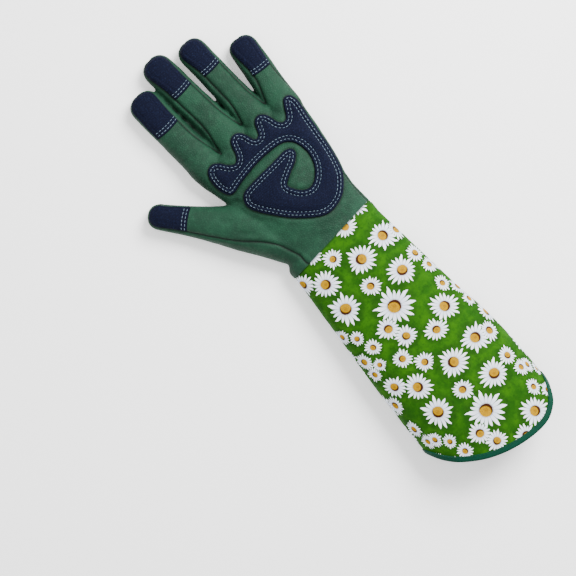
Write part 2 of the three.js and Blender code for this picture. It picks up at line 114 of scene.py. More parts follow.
# Each finger: root, lean in degrees towards the thumb, length, width, palm patch, back cap,
# and how far its side strips show on the palm and on the back, thumb side first.
FINGERS = {
    "index": dict(root=(-41.0, KNUCKLE_LINE), lean=6.2, length=95.0, width=27.0, patch=38.0, cap=31.0,
                  palm=(0.0, 3.6), back=(9.0, 5.0)),
    "middle": dict(root=(-11.3, KNUCKLE_LINE), lean=7.3, length=111.4, width=26.0, patch=38.0, cap=39.0,
                   palm=(4.6, 2.6), back=(3.0, 6.0)),
    "ring": dict(root=(14.5, KNUCKLE_LINE), lean=4.8, length=104.0, width=24.6, patch=31.5, cap=37.0,
                 palm=(5.0, 2.6), back=(4.0, 6.4)),
    "little": dict(root=(36.0, KNUCKLE_LINE), lean=-3.6, length=80.2, width=25.0, patch=33.0, cap=24.0,
                   palm=(5.4, 2.6), back=(3.0, 2.8)),
}

# Along, width and height of every finger, as shares.
FINGER_ROWS = [
    (-0.2, 0.42, 0.5), (0.12, 1.07, 1.0), (0.36, 1.02, 0.93), (0.88, 1.0, 0.8), (1.0, 0.99, 0.78),
]

# The thumb: along, left and right edges, top and the palm seam's distance, as shares.
THUMB = dict(root=(-30.0, 35.0), lean=41.6, length=108.4, width=29.0, patch=34.0)
THUMB_ROWS = [
    (-0.09, -0.8, 0.5, 1.0, 0.46), (0.13, -0.71, 0.62, 1.06, 0.38), (0.31, -0.65, 0.64, 1.0, 0.24),
    (0.47, -0.57, 0.49, 0.9, 0.16), (0.65, -0.5, 0.38, 0.8, 0.11), (0.86, -0.46, 0.29, 0.74, 0.1),
]

# The hand from the wrist to the fingers: along, left, right, top, palm seam and back seam.
PALM_ROWS = [
    (-0.08, -0.452, 0.445, 0.92, 0.165, 0.03), (0.0, -0.458, 0.441, 0.9, 0.165, 0.03),
    (0.028, -0.463, 0.439, 0.86, 0.155, 0.03), (0.052, -0.43, 0.438, 0.85, 0.12, 0.03),
    (0.104, -0.437, 0.427, 0.88, 0.08, 0.04), (0.19, -0.458, 0.432, 0.97, 0.03, 0.03),
    (0.284, -0.479, 0.466, 1.0, 0.0, 0.03), (0.38, -0.505, 0.49, 0.92, 0.0, 0.035),
    (0.45, -0.552, 0.502, 0.8, 0.0, 0.06), (0.52, -0.583, 0.51, 0.7, 0.0, 0.09),
    (0.56, -0.56, 0.49, 0.52, 0.0, 0.09),
]

# The cuff from its hem to the wrist: along, left, right and top.
CUFF_ROWS = [
    (-1.06, -0.44, 0.553, 1.02), (-0.85, -0.442, 0.553, 1.0), (-0.71, -0.446, 0.547, 0.97),
    (-0.57, -0.44, 0.527, 0.92), (-0.425, -0.43, 0.482, 0.86), (-0.14, -0.406, 0.411, 0.73),
]

# The palm leather's edge between the fingers: across, and how far up the hand it reaches.
CROTCHES = [
    (-60, 112.0), (-40, 112.0), (-27, 114.0), (-14, 118.0), (0, 122.5), (12, 118.0), (26, 116.0),
    (40, 112.0), (60, 112.0),
]

# The hem's line and the pad's outline in plan, as shares of the cuff's and the hand's width and length.
HEM = [
    (-0.46, -0.8), (-0.405, -0.855), (-0.34, -0.896), (-0.25, -0.93), (-0.134, -0.962), (0, -0.985),
    (0.134, -0.997), (0.268, -1.0), (0.375, -0.99), (0.464, -0.96), (0.518, -0.92), (0.549, -0.877),
    (0.57, -0.82),
]

PAD = [
    (-0.427, 0.396), (-0.313, 0.408), (-0.208, 0.419), (-0.104, 0.427), (0, 0.431), (0.104, 0.431),
    (0.177, 0.424), (0.229, 0.408), (0.26, 0.384), (0.276, 0.355), (0.276, 0.322), (0.25, 0.284),
    (0.198, 0.251), (0.135, 0.232), (0.083, 0.232), (0.031, 0.246), (-0.01, 0.27), (-0.026, 0.289),
    (0, 0.303), (0.063, 0.32), (0.146, 0.341), (0.193, 0.363), (0.2, 0.381), (0.177, 0.393),
    (0.125, 0.398), (0, 0.391), (-0.125, 0.386), (-0.26, 0.379), (-0.344, 0.37), (-0.385, 0.346),
    (-0.391, 0.318), (-0.354, 0.284), (-0.281, 0.242), (-0.188, 0.194), (-0.083, 0.154), (0.021, 0.123),
    (0.104, 0.111), (0.177, 0.114), (0.26, 0.128), (0.333, 0.156), (0.4, 0.199), (0.43, 0.246),
    (0.452, 0.308), (0.464, 0.379), (0.475, 0.44), (0.485, 0.48), (0.49, 0.515), (0.477, 0.543),
    (0.443, 0.557), (0.4, 0.553), (0.365, 0.528), (0.325, 0.494), (0.28, 0.487), (0.246, 0.502),
    (0.23, 0.526), (0.207, 0.55), (0.172, 0.564), (0.132, 0.566), (0.097, 0.555), (0.074, 0.531),
    (0.055, 0.508), (0.02, 0.5), (-0.005, 0.511), (-0.022, 0.535), (-0.045, 0.554), (-0.082, 0.566),
    (-0.125, 0.566), (-0.163, 0.553), (-0.182, 0.528), (-0.2, 0.498), (-0.24, 0.479), (-0.292, 0.488),
    (-0.344, 0.517), (-0.396, 0.531), (-0.448, 0.526), (-0.484, 0.505), (-0.495, 0.469), (-0.479, 0.427),
]

# The glove is laid out in millimetres from the middle of its wrist, with +Y to the fingertips.
# The pad's place in the frame says how far that is from the frame's origin.
pad_corner = np.array(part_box("palm_pad")[0]) / MM
pad_left, pad_foot = np.min(PAD, axis=0)
SHIFT = np.array([pad_corner[0] - pad_left * PALM_WIDTH, pad_corner[1] - pad_foot * HAND_LENGTH, 0.0])


# Curves and tables

def smooth_column(xs, ys, at):
    """A smooth run through a table's column, without overshoot at its ends."""
    xs, ys, at = np.asarray(xs, float), np.asarray(ys, float), np.asarray(at, float)
    slopes = np.gradient(ys, xs)
    i = np.clip(np.searchsorted(xs, at) - 1, 0, len(xs) - 2)
    h = xs[i + 1] - xs[i]
    t = np.clip((at - xs[i]) / h, 0, 1)
    from_first = (2 * t**3 - 3 * t**2 + 1) * ys[i] + (t**3 - 2 * t**2 + t) * slopes[i] * h
    return from_first + (-2 * t**3 + 3 * t**2) * ys[i + 1] + (t**3 - t**2) * slopes[i + 1] * h


def lengths_along(points):
    """How far along a run each of its points is."""
    return np.r_[0, np.cumsum(np.linalg.norm(np.diff(points, axis=0), axis=1))]


def places_at(at, steps, points):
    """The places at given lengths along a run."""
    return np.stack([np.interp(at, steps, column) for column in points.T], axis=1)


def smooth_run(points, spacing, closed):
    """Evenly spaced points on a smooth curve through a few."""
    pts = np.asarray(points, float)
    n = len(pts)
    count = n if closed else n - 1
    fine = []
    for i in range(count):
        if closed:
            p0, p1, p2, p3 = pts[(i - 1) % n], pts[i], pts[(i + 1) % n], pts[(i + 2) % n]
        else:
            p0, p1, p2, p3 = pts[max(i - 1, 0)], pts[i], pts[i + 1], pts[min(i + 2, n - 1)]
        for t in np.linspace(0, 1, 12, endpoint=False):
            fine.append(0.5 * (2 * p1 + (p2 - p0) * t + (2 * p0 - 5 * p1 + 4 * p2 - p3) * t**2
                               + (3 * p1 - p0 - 3 * p2 + p3) * t**3))
    fine.append(pts[0] if closed else pts[-1])
    fine = np.array(fine)
    steps = lengths_along(fine)
    at = np.linspace(0, steps[-1], max(2, int(round(steps[-1] / spacing)) + 1))
    run = places_at(at, steps, fine)
    return run[:-1] if closed else run


def turned(root, lean, across, along):
    """A place beside and along a leaning tube, in the glove's plan."""
    c, s = math.cos(math.radians(lean)), math.sin(math.radians(lean))
    return root[0] + across * c - along * s, root[1] + across * s + along * c


def untwisted(root, lean, x, y):
    """How far across and along a leaning tube a place is."""
    c, s = math.cos(math.radians(lean)), math.sin(math.radians(lean))
    dx, dy = x - root[0], y - root[1]
    return dx * c + dy * s, -dx * s + dy * c


def ring(left, right, top, angle, low_round):
    """Across and height round a section that is rounded above and fuller below."""
    c, s = np.cos(angle), np.sin(angle)
    centre, half = (left + right) / 2, (right - left) / 2
    top = REST_HEIGHT + top
    belly = REST_HEIGHT + (top - REST_HEIGHT) * BELLY
    power = np.where(s > 0, 2 / TOP_ROUND, 2 / low_round)
    x = centre + half * np.sign(c) * np.abs(c) ** power
    rise = np.abs(s) ** power
    z = np.where(s > 0, belly + (top - belly) * rise, belly - (belly - REST_HEIGHT) * 1.06 * rise)
    return x, z


def section(left, right, top, sides, low_round):
    """One ring of a tube, pressed flat where it rests."""
    angle = 2 * np.pi * (np.arange(sides) + 0.5) / sides
    x, z = ring(left, right, top, angle, low_round)
    return x, np.maximum(z, REST_HEIGHT)


def tube_faces(start, count, sides):
    """Faces of a closed tube whose rings of points follow one another from start."""
    faces = []
    for i in range(count - 1):
        for k in range(sides):
            a, b = start + i * sides + k, start + i * sides + (k + 1) % sides
            faces.append((a, a + sides, b + sides, b))
    last = start + (count - 1) * sides
    return faces + [tuple(range(start, start + sides)), tuple(reversed(range(last, last + sides)))]


def tube(rings, stations, root, lean):
    """Points and faces of a closed tube through rings."""
    points = []
    for (xs, zs), along in zip(rings, stations):
        px, py = turned(root, lean, xs, along)
        points.append(np.stack([px, py, zs], axis=1))
    return np.concatenate(points), tube_faces(0, len(rings), len(rings[0][0]))


def rounded_end(left, right, top, length):
    """Rings that round off the end of a finger."""
    rows = []
    for share in np.linspace(0, 1, 12)[1:]:
        share = math.sin(share * math.pi / 2) * 0.995
        plan = (1 - share**2.5) ** (1 / 2.5)
        height = 0.45 + 0.55 * (1 - share**2) ** 0.5
        centre, half = (left + right) / 2, (right - left) / 2 * plan
        rows.append((length - TIP_ROUND + share * TIP_ROUND, centre - half, centre + half, top * height))
    return rows


def finger_rows(finger):
    """Along, left, right and top for a finger, in fine steps."""
    full = finger["length"] - TIP_ROUND
    along, width, top = (np.array(column) for column in zip(*FINGER_ROWS))
    at = np.linspace(along[0], 1, 40)
    widths = smooth_column(along, width, at) * finger["width"]
    tops = smooth_column(along, top, at) * FINGER_THICKNESS
    rows = [(a * full, -w / 2, w / 2, t) for a, w, t in zip(at, widths, tops)]
    last = rows[-1]
    return rows + rounded_end(last[1], last[2], last[3] * 0.97, finger["length"])


def thumb_rows():
    """The same for the thumb."""
    along, left, right, top, _ = (np.array(column) for column in zip(*THUMB_ROWS))
    at = np.linspace(along[0], (THUMB["length"] - TIP_ROUND) / THUMB["length"], 40)
    held = np.minimum(at, along[-1])
    left, right, top = (smooth_column(along, column, held) for column in (left, right, top))
    width = THUMB["width"]
    rows = list(zip(at * THUMB["length"], left * width, right * width, top * THUMB_THICKNESS))
    return rows + rounded_end(*rows[-1][1:], THUMB["length"])


def palm_columns(at):
    """Left, right, top, palm seam and back seam of the hand at places along it."""
    along, *columns = (np.array(column) for column in zip(*PALM_ROWS))
    return [smooth_column(along, column, at) for column in columns]


# Meshes

def new_object(name, points, faces):
    """A mesh object from points in the glove's own millimetres."""
    mesh = bpy.data.meshes.new(name)
    places = [tuple(p) for p in (np.asarray(points) + SHIFT) * MM]
    mesh.from_pydata(places, [], [tuple(map(int, face)) for face in faces])
    mesh.validate()
    piece = bpy.data.objects.new(name, mesh)
    bpy.context.scene.collection.objects.link(piece)
    return piece


def pick(piece):
    """Makes a piece the only selected one."""
    bpy.ops.object.select_all(action="DESELECT")
    bpy.context.view_layer.objects.active = piece
    piece.select_set(True)


def triangles_of(piece):
    """Points in millimetres and triangles of an object."""
    mesh = piece.data
    mesh.calc_loop_triangles()
    points = np.empty(len(mesh.vertices) * 3)
    mesh.vertices.foreach_get("co", points)
    tris = np.empty(len(mesh.loop_triangles) * 3, dtype=np.int64)
    mesh.loop_triangles.foreach_get("vertices", tris)
    return points.reshape(-1, 3) / MM - SHIFT, tris.reshape(-1, 3)


def facing_out(piece):
    """Turns every face of a closed piece outwards."""
    pick(piece)
    bpy.ops.object.mode_set(mode="EDIT")
    bpy.ops.mesh.select_all(action="SELECT")
    bpy.ops.mesh.normals_make_consistent(inside=False)
    bpy.ops.object.mode_set(mode="OBJECT")


def unit(vectors):
    return vectors / np.linalg.norm(vectors, axis=1, keepdims=True)


def normals_of(points, tris):
    """A smooth normal for each point of some triangles."""
    face = np.cross(points[tris[:, 1]] - points[tris[:, 0]], points[tris[:, 2]] - points[tris[:, 0]])
    total = np.zeros_like(points)
    for k in range(3):
        np.add.at(total, tris[:, k], face)
    return total / np.maximum(np.linalg.norm(total, axis=1, keepdims=True), 1e-12)


def split(points, tris, values):
    """Cuts triangles along the line where values is zero. points may carry more columns."""
    values = np.where(np.abs(values) < 1e-3, 1e-3, values)
    side = values > 0
    mixed = side[tris].any(axis=1) & ~side[tris].all(axis=1)
    keep = tris[~mixed]
    added, made, out = [], {}, []
    count = len(points)
    for tri in tris[mixed]:
        flags = side[tri]
        alone = int(np.flatnonzero(flags == (flags.sum() == 1))[0])
        a, b, c = tri[alone], tri[(alone + 1) % 3], tri[(alone + 2) % 3]
        ends = []
        for other in (b, c):
            key = (a, other) if a < other else (other, a)
            if key not in made:
                t = values[key[0]] / (values[key[0]] - values[key[1]])
                t = min(max(t, 0.02), 0.98)
                added.append(points[key[0]] * (1 - t) + points[key[1]] * t)
                made[key] = count + len(added) - 1
            ends.append(made[key])
        p, q = ends
        out += [(a, p, q), (p, b, c), (p, c, q)]
    if not added:
        return points, tris
    return np.vstack([points, np.array(added)]), np.vstack([keep, np.array(out, dtype=np.int64)])


def submesh(points, tris, chosen, *arrays):
    """The chosen triangles alone, with their points and any arrays by point."""
    picked = tris[chosen]
    used, inverse = np.unique(picked, return_inverse=True)
    return (points[used], inverse.reshape(-1, 3), *[array[used] for array in arrays])


def rim_edges(tris):
    """Directed edges that only one triangle has."""
    edges = np.concatenate([tris[:, [0, 1]], tris[:, [1, 2]], tris[:, [2, 0]]])
    keys = edges[:, 0] * (tris.max() + 1) + edges[:, 1]
    back = edges[:, 1] * (tris.max() + 1) + edges[:, 0]
    return edges[~np.isin(keys, back)]


def walled(name, outer, inner, tris):
    """A closed piece from an outer face, an inner face and the rim between them."""
    count = len(outer)
    rim = rim_edges(tris)
    sides = np.concatenate([
        np.stack([rim[:, 1], rim[:, 0], rim[:, 0] + count], axis=1),
        np.stack([rim[:, 1], rim[:, 0] + count, rim[:, 1] + count], axis=1),
    ])
    faces = np.concatenate([tris, tris[:, ::-1] + count, sides])
    piece = new_object(name, np.concatenate([outer, inner]), faces)
    pick(piece)
    bpy.ops.object.shade_smooth_by_angle(angle=math.radians(55))
    return piece


def distances(points, targets):
    """How far each point is from the nearest target, and which target that is."""
    tree = KDTree(len(targets))
    flat = targets.shape[1] == 2
    for i, target in enumerate(targets):
        tree.insert((target[0], target[1], 0) if flat else target, i)
    tree.balance()
    found = [tree.find((p[0], p[1], 0) if flat else p) for p in points]
    return np.array([f[2] for f in found]), np.array([f[1] for f in found])


def smoothstep(low, high, value):
    """From 0 at low to 1 at high, and smooth between."""
    t = np.clip((value - low) / (high - low), 0, 1)
    return t * t * (3 - 2 * t)


def bell(distance, width):
    """1 at no distance, and almost nothing past twice a width."""
    return np.exp(-((distance / width) ** 2))


def soft_max(values, radius):
    """The largest of several fields, with its inner corners rounded."""
    result = values[0]
    for value in values[1:]:
        h = np.clip(0.5 + 0.5 * (value - result) / radius, 0, 1)
        result = result * (1 - h) + value * h + radius * h * (1 - h)
    return result


def rumple(points, size, seed, weights=(1, 1, 1)):
    """Smooth noise from -1 to 1 at each point, with swells of about a size in millimetres."""
    scale = np.array(weights) / size
    offset = Vector((seed * 17.3, seed * 5.1, seed * 9.7))
    return np.array([noise.noise(Vector(p * scale) + offset) for p in points[:, :3]])


# Places of the seams, as fields over the plan that are positive inside

FAR_OUTSIDE = -60.0


def steady(distance):
    """The same distance all along an edge."""
    return lambda along: np.full(len(along), distance)


def outline_field(rows, root, lean, inset_left, inset_right, inset_tip, x, y):
    """Distance inside a tube's plan, less how far the seam stays from its edge there."""
    along, left, right = (np.array([row[k] for row in rows]) for k in range(3))
    across, place = untwisted(root, lean, x, y)
    end = along[-1]

    def side(edge, inset):
        """Even points along one edge, and the seam's distance from each."""
        steps = np.r_[0, np.cumsum(np.hypot(np.diff(along), np.diff(edge)))]
        fine = np.linspace(0, steps[-1], int(steps[-1] / 0.5))
        run = np.stack([np.interp(fine, steps, edge), np.interp(fine, steps, along)], axis=1)
        tip = smoothstep(end - TIP_ROUND * 2.4, end - TIP_ROUND * 0.3, run[:, 1])
        return run, inset(run[:, 1]) * (1 - tip) + inset_tip * tip

    left_run, left_inset = side(left, inset_left)
    right_run, right_inset = side(right, inset_right)
    cap = np.stack([np.linspace(left[-1], right[-1], 12), np.full(12, end)], axis=1)
    run = np.concatenate([left_run, cap, right_run])
    insets = np.concatenate([left_inset, np.full(12, inset_tip), right_inset])
    result = np.full(len(x), FAR_OUTSIDE)
    near = (place > along[0] - 5) & (place < end + 12) & (np.abs(across) < 45)
    far, which = distances(np.stack([across[near], place[near]], axis=1), run)
    inside = across[near] > np.interp(place[near], along, left)
    inside &= across[near] < np.interp(place[near], along, right)
    inside &= place[near] < end
    result[near] = np.where(inside, far, -far) - insets[which]
    result[near & (place < along[0] + 1)] = FAR_OUTSIDE
    return result


FINGER_RUNS = {name: finger_rows(finger) for name, finger in FINGERS.items()}
THUMB_RUN = thumb_rows()

# A seam this far past an edge never shows there.
OUTSIDE = -6.0


def finger_field(name, strips, tip_inset, x, y, narrowed=False):
    """Inside a finger's seams. The strips beside it may narrow towards the fingers' roots."""
    finger = FINGERS[name]

    def side(strip):
        def inset(along):
            share = 0.12 + 0.88 * smoothstep(16, 46, along) if narrowed and strip > 0 else 1.0
            return np.full(len(along), strip) * share
        return inset

    return outline_field(FINGER_RUNS[name], finger["root"], finger["lean"],
                         side(strips[0]), side(strips[1]), tip_inset, x, y)


def thumb_field(x, y):
    """Inside the thumb's palm seam."""
    along, *_, seam = (np.array(column) for column in zip(*THUMB_ROWS))

    def inset(at):
        share = np.minimum(at / THUMB["length"], along[-1])
        return np.maximum(smooth_column(along, seam, share) * THUMB["width"], 0.0)

    return outline_field(THUMB_RUN, THUMB["root"], THUMB["lean"], inset, steady(OUTSIDE), TIP_INSET, x, y)


def palm_field(x, y):
    """Positive on the palm leather, above its seams."""
    left, right, _, seam, _ = palm_columns(y / HAND_LENGTH)
    inset = np.where(seam * PALM_WIDTH > 0.5, seam * PALM_WIDTH, OUTSIDE)
    across, reach = zip(*CROTCHES)
    body = np.minimum(x - left * PALM_WIDTH - inset, right * PALM_WIDTH - TIP_INSET - x)
    body = np.minimum(body, smooth_column(across, reach, x) - y)
    fields = [body, thumb_field(x, y)]
    for name, finger in FINGERS.items():
        left_strip, right_strip = finger["palm"]
        strips = (left_strip if left_strip else OUTSIDE, right_strip)
        fields.append(finger_field(name, strips, TIP_INSET, x, y, True))
    return soft_max(fields, 1.6)


def back_field(x, y):
    """Positive on the back's cloth and caps, inside their seams."""
    left, right, _, _, back = palm_columns(y / HAND_LENGTH)
    body = np.minimum(x - left * PALM_WIDTH - back * PALM_WIDTH, right * PALM_WIDTH - TIP_INSET - x)
    body = np.minimum(body, 114.0 - y)
    fingers = [finger_field(name, finger["back"], 2.6, x, y, True) for name, finger in FINGERS.items()]
    return soft_max([body] + fingers, 1.6)


def bowed(across, bow):
    """How far a bowed line across a finger stands out there."""
    return bow * (1 - (across / 12.0) ** 2)


def line_past(digit, distance, x, y, bow):
    """Positive past a line across a finger or the thumb, bowed towards the tip at its middle."""
    across, along = untwisted(digit["root"], digit["lean"], x, y)
    return along - distance - bowed(across, bow)


def wrist_line(x):
    return (x - WRIST_EDGE) * WRIST_TILT


# The hand's skin

def web(first, second, length):
    """A low fill between two fingers' roots, where their strips meet."""
    a, b = FINGERS[first], FINGERS[second]
    root = ((a["root"][0] + b["root"][0]) / 2 + (a["width"] - b["width"]) / 4, KNUCKLE_LINE)
    rows = [(-6, 5.0, 11.0), (length * 0.5, 4.5, 10.0), (length - 7, 3.5, 8.5), (length, 1.6, 4.0)]
    rings = [section(-half, half, top, 24, FINGER_ROUND) for _, half, top in rows]
    return tube(rings, [row[0] for row in rows], root, (a["lean"] + b["lean"]) / 2)


def hand_skin():
    """One smooth closed skin over the palm, the fingers and the thumb, reaching past the wrist."""
    at = np.arange(-0.08, 0.561, 0.012)
    left, right, top, _, _ = palm_columns(at)
    edges = zip(left * PALM_WIDTH, right * PALM_WIDTH, top * PALM_THICKNESS)
    rings = [section(*edge, 72, PALM_ROUND) for edge in edges]
    shapes = [tube(rings, at * HAND_LENGTH, (0, 0), 0)]
    for digit, rows in [*zip(FINGERS.values(), FINGER_RUNS.values()), (THUMB, THUMB_RUN)]:
        rings = [section(*row[1:], 48, FINGER_ROUND) for row in rows]
        shapes.append(tube(rings, [row[0] for row in rows], digit["root"], digit["lean"]))
    shapes += [web("index", "middle", 62), web("middle", "ring", 50), web("ring", "little", 27)]
    points, faces, start = [], [], 0
    for shape_points, shape_faces in shapes:
        points.append(shape_points)
        faces += [tuple(k + start for k in face) for face in shape_faces]
        start += len(shape_points)
    skin = new_object("skin", np.concatenate(points), faces)
    pick(skin)
    remesh = skin.modifiers.new("even", "REMESH")
    remesh.mode = "VOXEL"
    remesh.voxel_size = SKIN_MESH * MM
    bpy.ops.object.modifier_apply(modifier=remesh.name)
    relax = skin.modifiers.new("relax", "SMOOTH")
    relax.factor, relax.iterations = 0.5, 7
    bpy.ops.object.modifier_apply(modifier=relax.name)
    points, tris = triangles_of(skin)
    bpy.data.objects.remove(skin)
    points[:, 2] = np.maximum(points[:, 2], REST_HEIGHT)
    return points, tris


# The hand's panels

def hand_fields(points):
    """The points with the seams' fields in further columns."""
    x, y = points[:, 0], points[:, 1]
    cap = np.full(len(x), FAR_OUTSIDE)
    closest = np.full(len(x), 9.0)
    for finger in FINGERS.values():
        across, along = untwisted(finger["root"], finger["lean"], x, y)
        share = np.abs(across) / finger["width"] * 2
        nearest = (share < closest) & (along > 20)
        past = line_past(finger, finger["length"] - finger["cap"], x, y, -2.0)
        cap[nearest] = past[nearest]
        closest[nearest] = share[nearest]
    return np.column_stack([points, palm_field(x, y), back_field(x, y), y - wrist_line(x), cap])


# The columns that hold those fields.
PALM, BACK, WRIST, CAP = 3, 4, 5, 6

# The panels of the hand, in the order of their labels.
HAND_PANELS = [
    "palm_panel", "fourchette_index_middle", "fourchette_middle_ring", "fourchette_ring_little",
    "little_side_strip", "thumb_back", "back_panel", "index_cap", "middle_cap", "ring_cap", "little_cap",
]
PALM_PANEL, LITTLE_SIDE, THUMB_BACK, BACK_PANEL, FIRST_CAP = 0, 4, 5, 6, 7


def nearest_finger(x, y):
    """Which finger is nearest, and on which side of its middle."""
    shares = []
    for finger in FINGERS.values():
        across, _ = untwisted(finger["root"], finger["lean"], x, y)
        shares.append(across / finger["width"])
    shares = np.array(shares)
    which = np.abs(shares).argmin(axis=0)
    return which, np.take_along_axis(shares, which[None], axis=0)[0] > 0


def hand_labels(centres):
    """The panel that each triangle belongs to, as a place in HAND_PANELS."""
    x, y, z = centres[:, :3].T
    which, right = nearest_finger(x, y)
    thumb_across, _ = untwisted(THUMB["root"], THUMB["lean"], x, y)
    labels = which + right
    labels[(y < 95) & (x > 0)] = LITTLE_SIDE
    labels[(y < 95) & (x <= 0)] = PALM_PANEL
    low_on_thumb = y < THUMB_SEAM
    beside = (x < -10) & (low_on_thumb | (thumb_across < 17.5)) & (y < 135)
    labels[beside & (x < np.where(low_on_thumb, 0, -40))] = THUMB_BACK
    under = (z < SEAM_HEIGHT) & (centres[:, BACK] > 0)
    labels[under] = BACK_PANEL
    caps = under & (centres[:, CAP] > 0)
    labels[caps] = FIRST_CAP + which[caps]
    labels[(z >= SEAM_HEIGHT) & (centres[:, PALM] > 0)] = PALM_PANEL
    return labels


skin_points, skin_tris = hand_skin()
columns = hand_fields(skin_points)
columns, tris = split(columns, skin_tris, columns[:, WRIST])
tris = tris[columns[tris].mean(axis=1)[:, WRIST] > 0]
columns, tris = split(columns, tris, np.minimum(columns[:, PALM], columns[:, 2] - SEAM_HEIGHT))
columns, tris = split(columns, tris, np.minimum(columns[:, BACK], SEAM_HEIGHT - columns[:, 2]))
on_back = np.minimum(columns[:, BACK], SEAM_HEIGHT - columns[:, 2])
columns, tris = split(columns, tris, np.minimum(on_back, columns[:, CAP]))
labels = hand_labels(columns[tris].mean(axis=1))

# The points where two panels meet are the seams.
lowest = np.full(len(columns), 99)
highest = np.full(len(columns), -1)
for k in range(3):
    np.minimum.at(lowest, tris[:, k], labels)
    np.maximum.at(highest, tris[:, k], labels)
hand = columns[:, :3]
seam_near, _ = distances(hand, hand[highest > lowest])

# The leather sinks at its seams and swells a little between them.
hand_normals = normals_of(hand, tris)
swell = rumple(hand, 26, 1) * 0.55 + rumple(hand, 11, 2) * 0.22 + rumple(hand, 4.5, 3) * 0.07
upper = smoothstep(3, 9, hand[:, 2])
flatten = smoothstep(0, 5, seam_near)
facing = 0.35 + 0.65 * smoothstep(0.25, 0.7, np.abs(hand_normals[:, 2]))
lift = (0.25 * bell(seam_near - 3.0, 1.8) - 0.9 * bell(seam_near, 1.15)) * facing
lift += swell * (0.3 + 0.7 * flatten) * (0.25 + 0.75 * upper)

# Creases in the palm side: points along each, depth and width in millimetres.
CREASES = [
    ([(-46, 80), (-41, 75), (-36, 71)], 1.6, 2.4),
    ([(-46, 60), (-36, 53), (-29, 44), (-27, 32)], 0.8, 3.2),
    ([(-58, 58), (-50, 50), (-44, 44)], 0.7, 2.2),
    ([(-66, 78), (-58, 70), (-50, 66)], 0.6, 2.0),
    ([(-58, 126), (-50, 127), (-40, 128)], 0.5, 2.4),
    ([(-28, 132), (-18, 134), (-8, 135)], 0.6, 2.4),
    ([(-33, 152), (-22, 153), (-12, 155)], 0.4, 2.2),
    ([(0, 136), (10, 137), (20, 136)], 0.6, 2.4),
    ([(-1, 155), (8, 156), (18, 156)], 0.4, 2.2),
    ([(29, 124), (38, 126), (48, 126)], 0.5, 2.4),
    ([(-24, 16), (0, 11), (24, 13), (38, 17)], 0.5, 3.0),
    ([(-6, 20), (14, 15), (32, 20)], 0.4, 2.6),
    ([(46, 20), (40, 36), (47, 50)], 0.6, 3.2),
]
for run, depth, width in CREASES:
    path = smooth_run(run, 1.0, False)
    far, which = distances(hand[:, :2], path)
    ends = np.minimum(which, len(path) - 1 - which) / (0.35 * len(path))
    lift -= upper * depth * bell(far, width) * smoothstep(0, 1, ends)

# The back's elastic draws the cloth into short pleats that run along the hand.
gather = (1 - upper) * smoothstep(4, 12, hand[:, 1]) * (1 - smoothstep(30, 44, hand[:, 1]))
gather *= smoothstep(0, 6, columns[:, BACK])
phase = hand[:, 0] / 6.2 + 0.8 * rumple(hand, 15, 7, (1, 0.3, 1)) + 0.5 * np.sin(hand[:, 1] / 9)
pleats = np.abs(np.sin(phase * math.pi))
lift -= gather * (1.5 - 1.7 * pleats**0.8)

# The pad's edge presses into the leather.
pad_run = smooth_run(np.array(PAD) * (PALM_WIDTH, HAND_LENGTH), 1.0, True)
pad_far, _ = distances(hand[:, :2], pad_run)
lift -= upper * 0.9 * bell(pad_far, 1.6)
hand_outer = hand + hand_normals * lift[:, None]
hand_outer[:, 2] = np.maximum(hand_outer[:, 2], REST_HEIGHT)
hand_inner = hand_outer - hand_normals * WALL

# Dark seam lines, partly the seams' own dark and partly painted shade in their grooves; painted shadow in
# the deeps between the fingers; and painted shade beside the pad.
seam_and_painted_shade = bell(seam_near, 0.85)
between = (columns[:, PALM] < 0) & (columns[:, BACK] < 0)
between &= (hand[:, 1] > 108) & (hand[:, 0] > -62) & (hand[:, 0] < 44)
deep = smoothstep(6.5, 8.5, hand[:, 2]) * (1 - smoothstep(10.0, 13.5, hand[:, 2]))
seam_and_painted_shade = np.maximum(seam_and_painted_shade, between * deep * 0.9 * (1 - smoothstep(165, 185, hand[:, 1])))
seam_and_painted_shade = np.maximum(seam_and_painted_shade, upper * 0.8 * bell(pad_far, 1.3))


def give(piece, name, values):
    """Stores a number or a vector for each outer point, and the same again for the inner ones."""
    values = np.asarray(values, float)
    total = len(piece.data.vertices)
    values = np.concatenate([values, values])[:total]
    kind = "FLOAT_VECTOR" if values.ndim == 2 else "FLOAT"
    made = piece.data.attributes.new(name, kind, "POINT")
    made.data.foreach_set("vector" if values.ndim == 2 else "value", values.ravel())


def mounted(piece, slot, *nodes):
    """Makes a piece ride the glove in place of its CAD nodes. slot is not used."""
    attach(piece, "root")
    if nodes:
        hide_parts(*nodes)
    return piece


# The print's repeat in millimetres: across, along and radius of each daisy.
TILE = (100.0, 108.0)
DAISIES = np.array([
    (-26, -19, 11.5), (-9, -7, 8), (7, -21, 12), (32, -17, 12), (-27, -44, 13), (-1, -42, 8.5),
    (25, -48, 12), (43, -44, 8), (2.5, -66, 15), (-12.5, -77, 9.5), (-6, -90, 9), (-36, -68, 6.5),
    (-31, -81, 7), (-37, -95, 6), (31, -91, 12), (43, -76, 7), (-20, -102, 8), (14, -101, 9),
    (45.5, -20, 9), (46, -58, 7), (-41, -8, 10), (-46, -86, 8), (53, -99, 7), (-46, -60, 7),
])


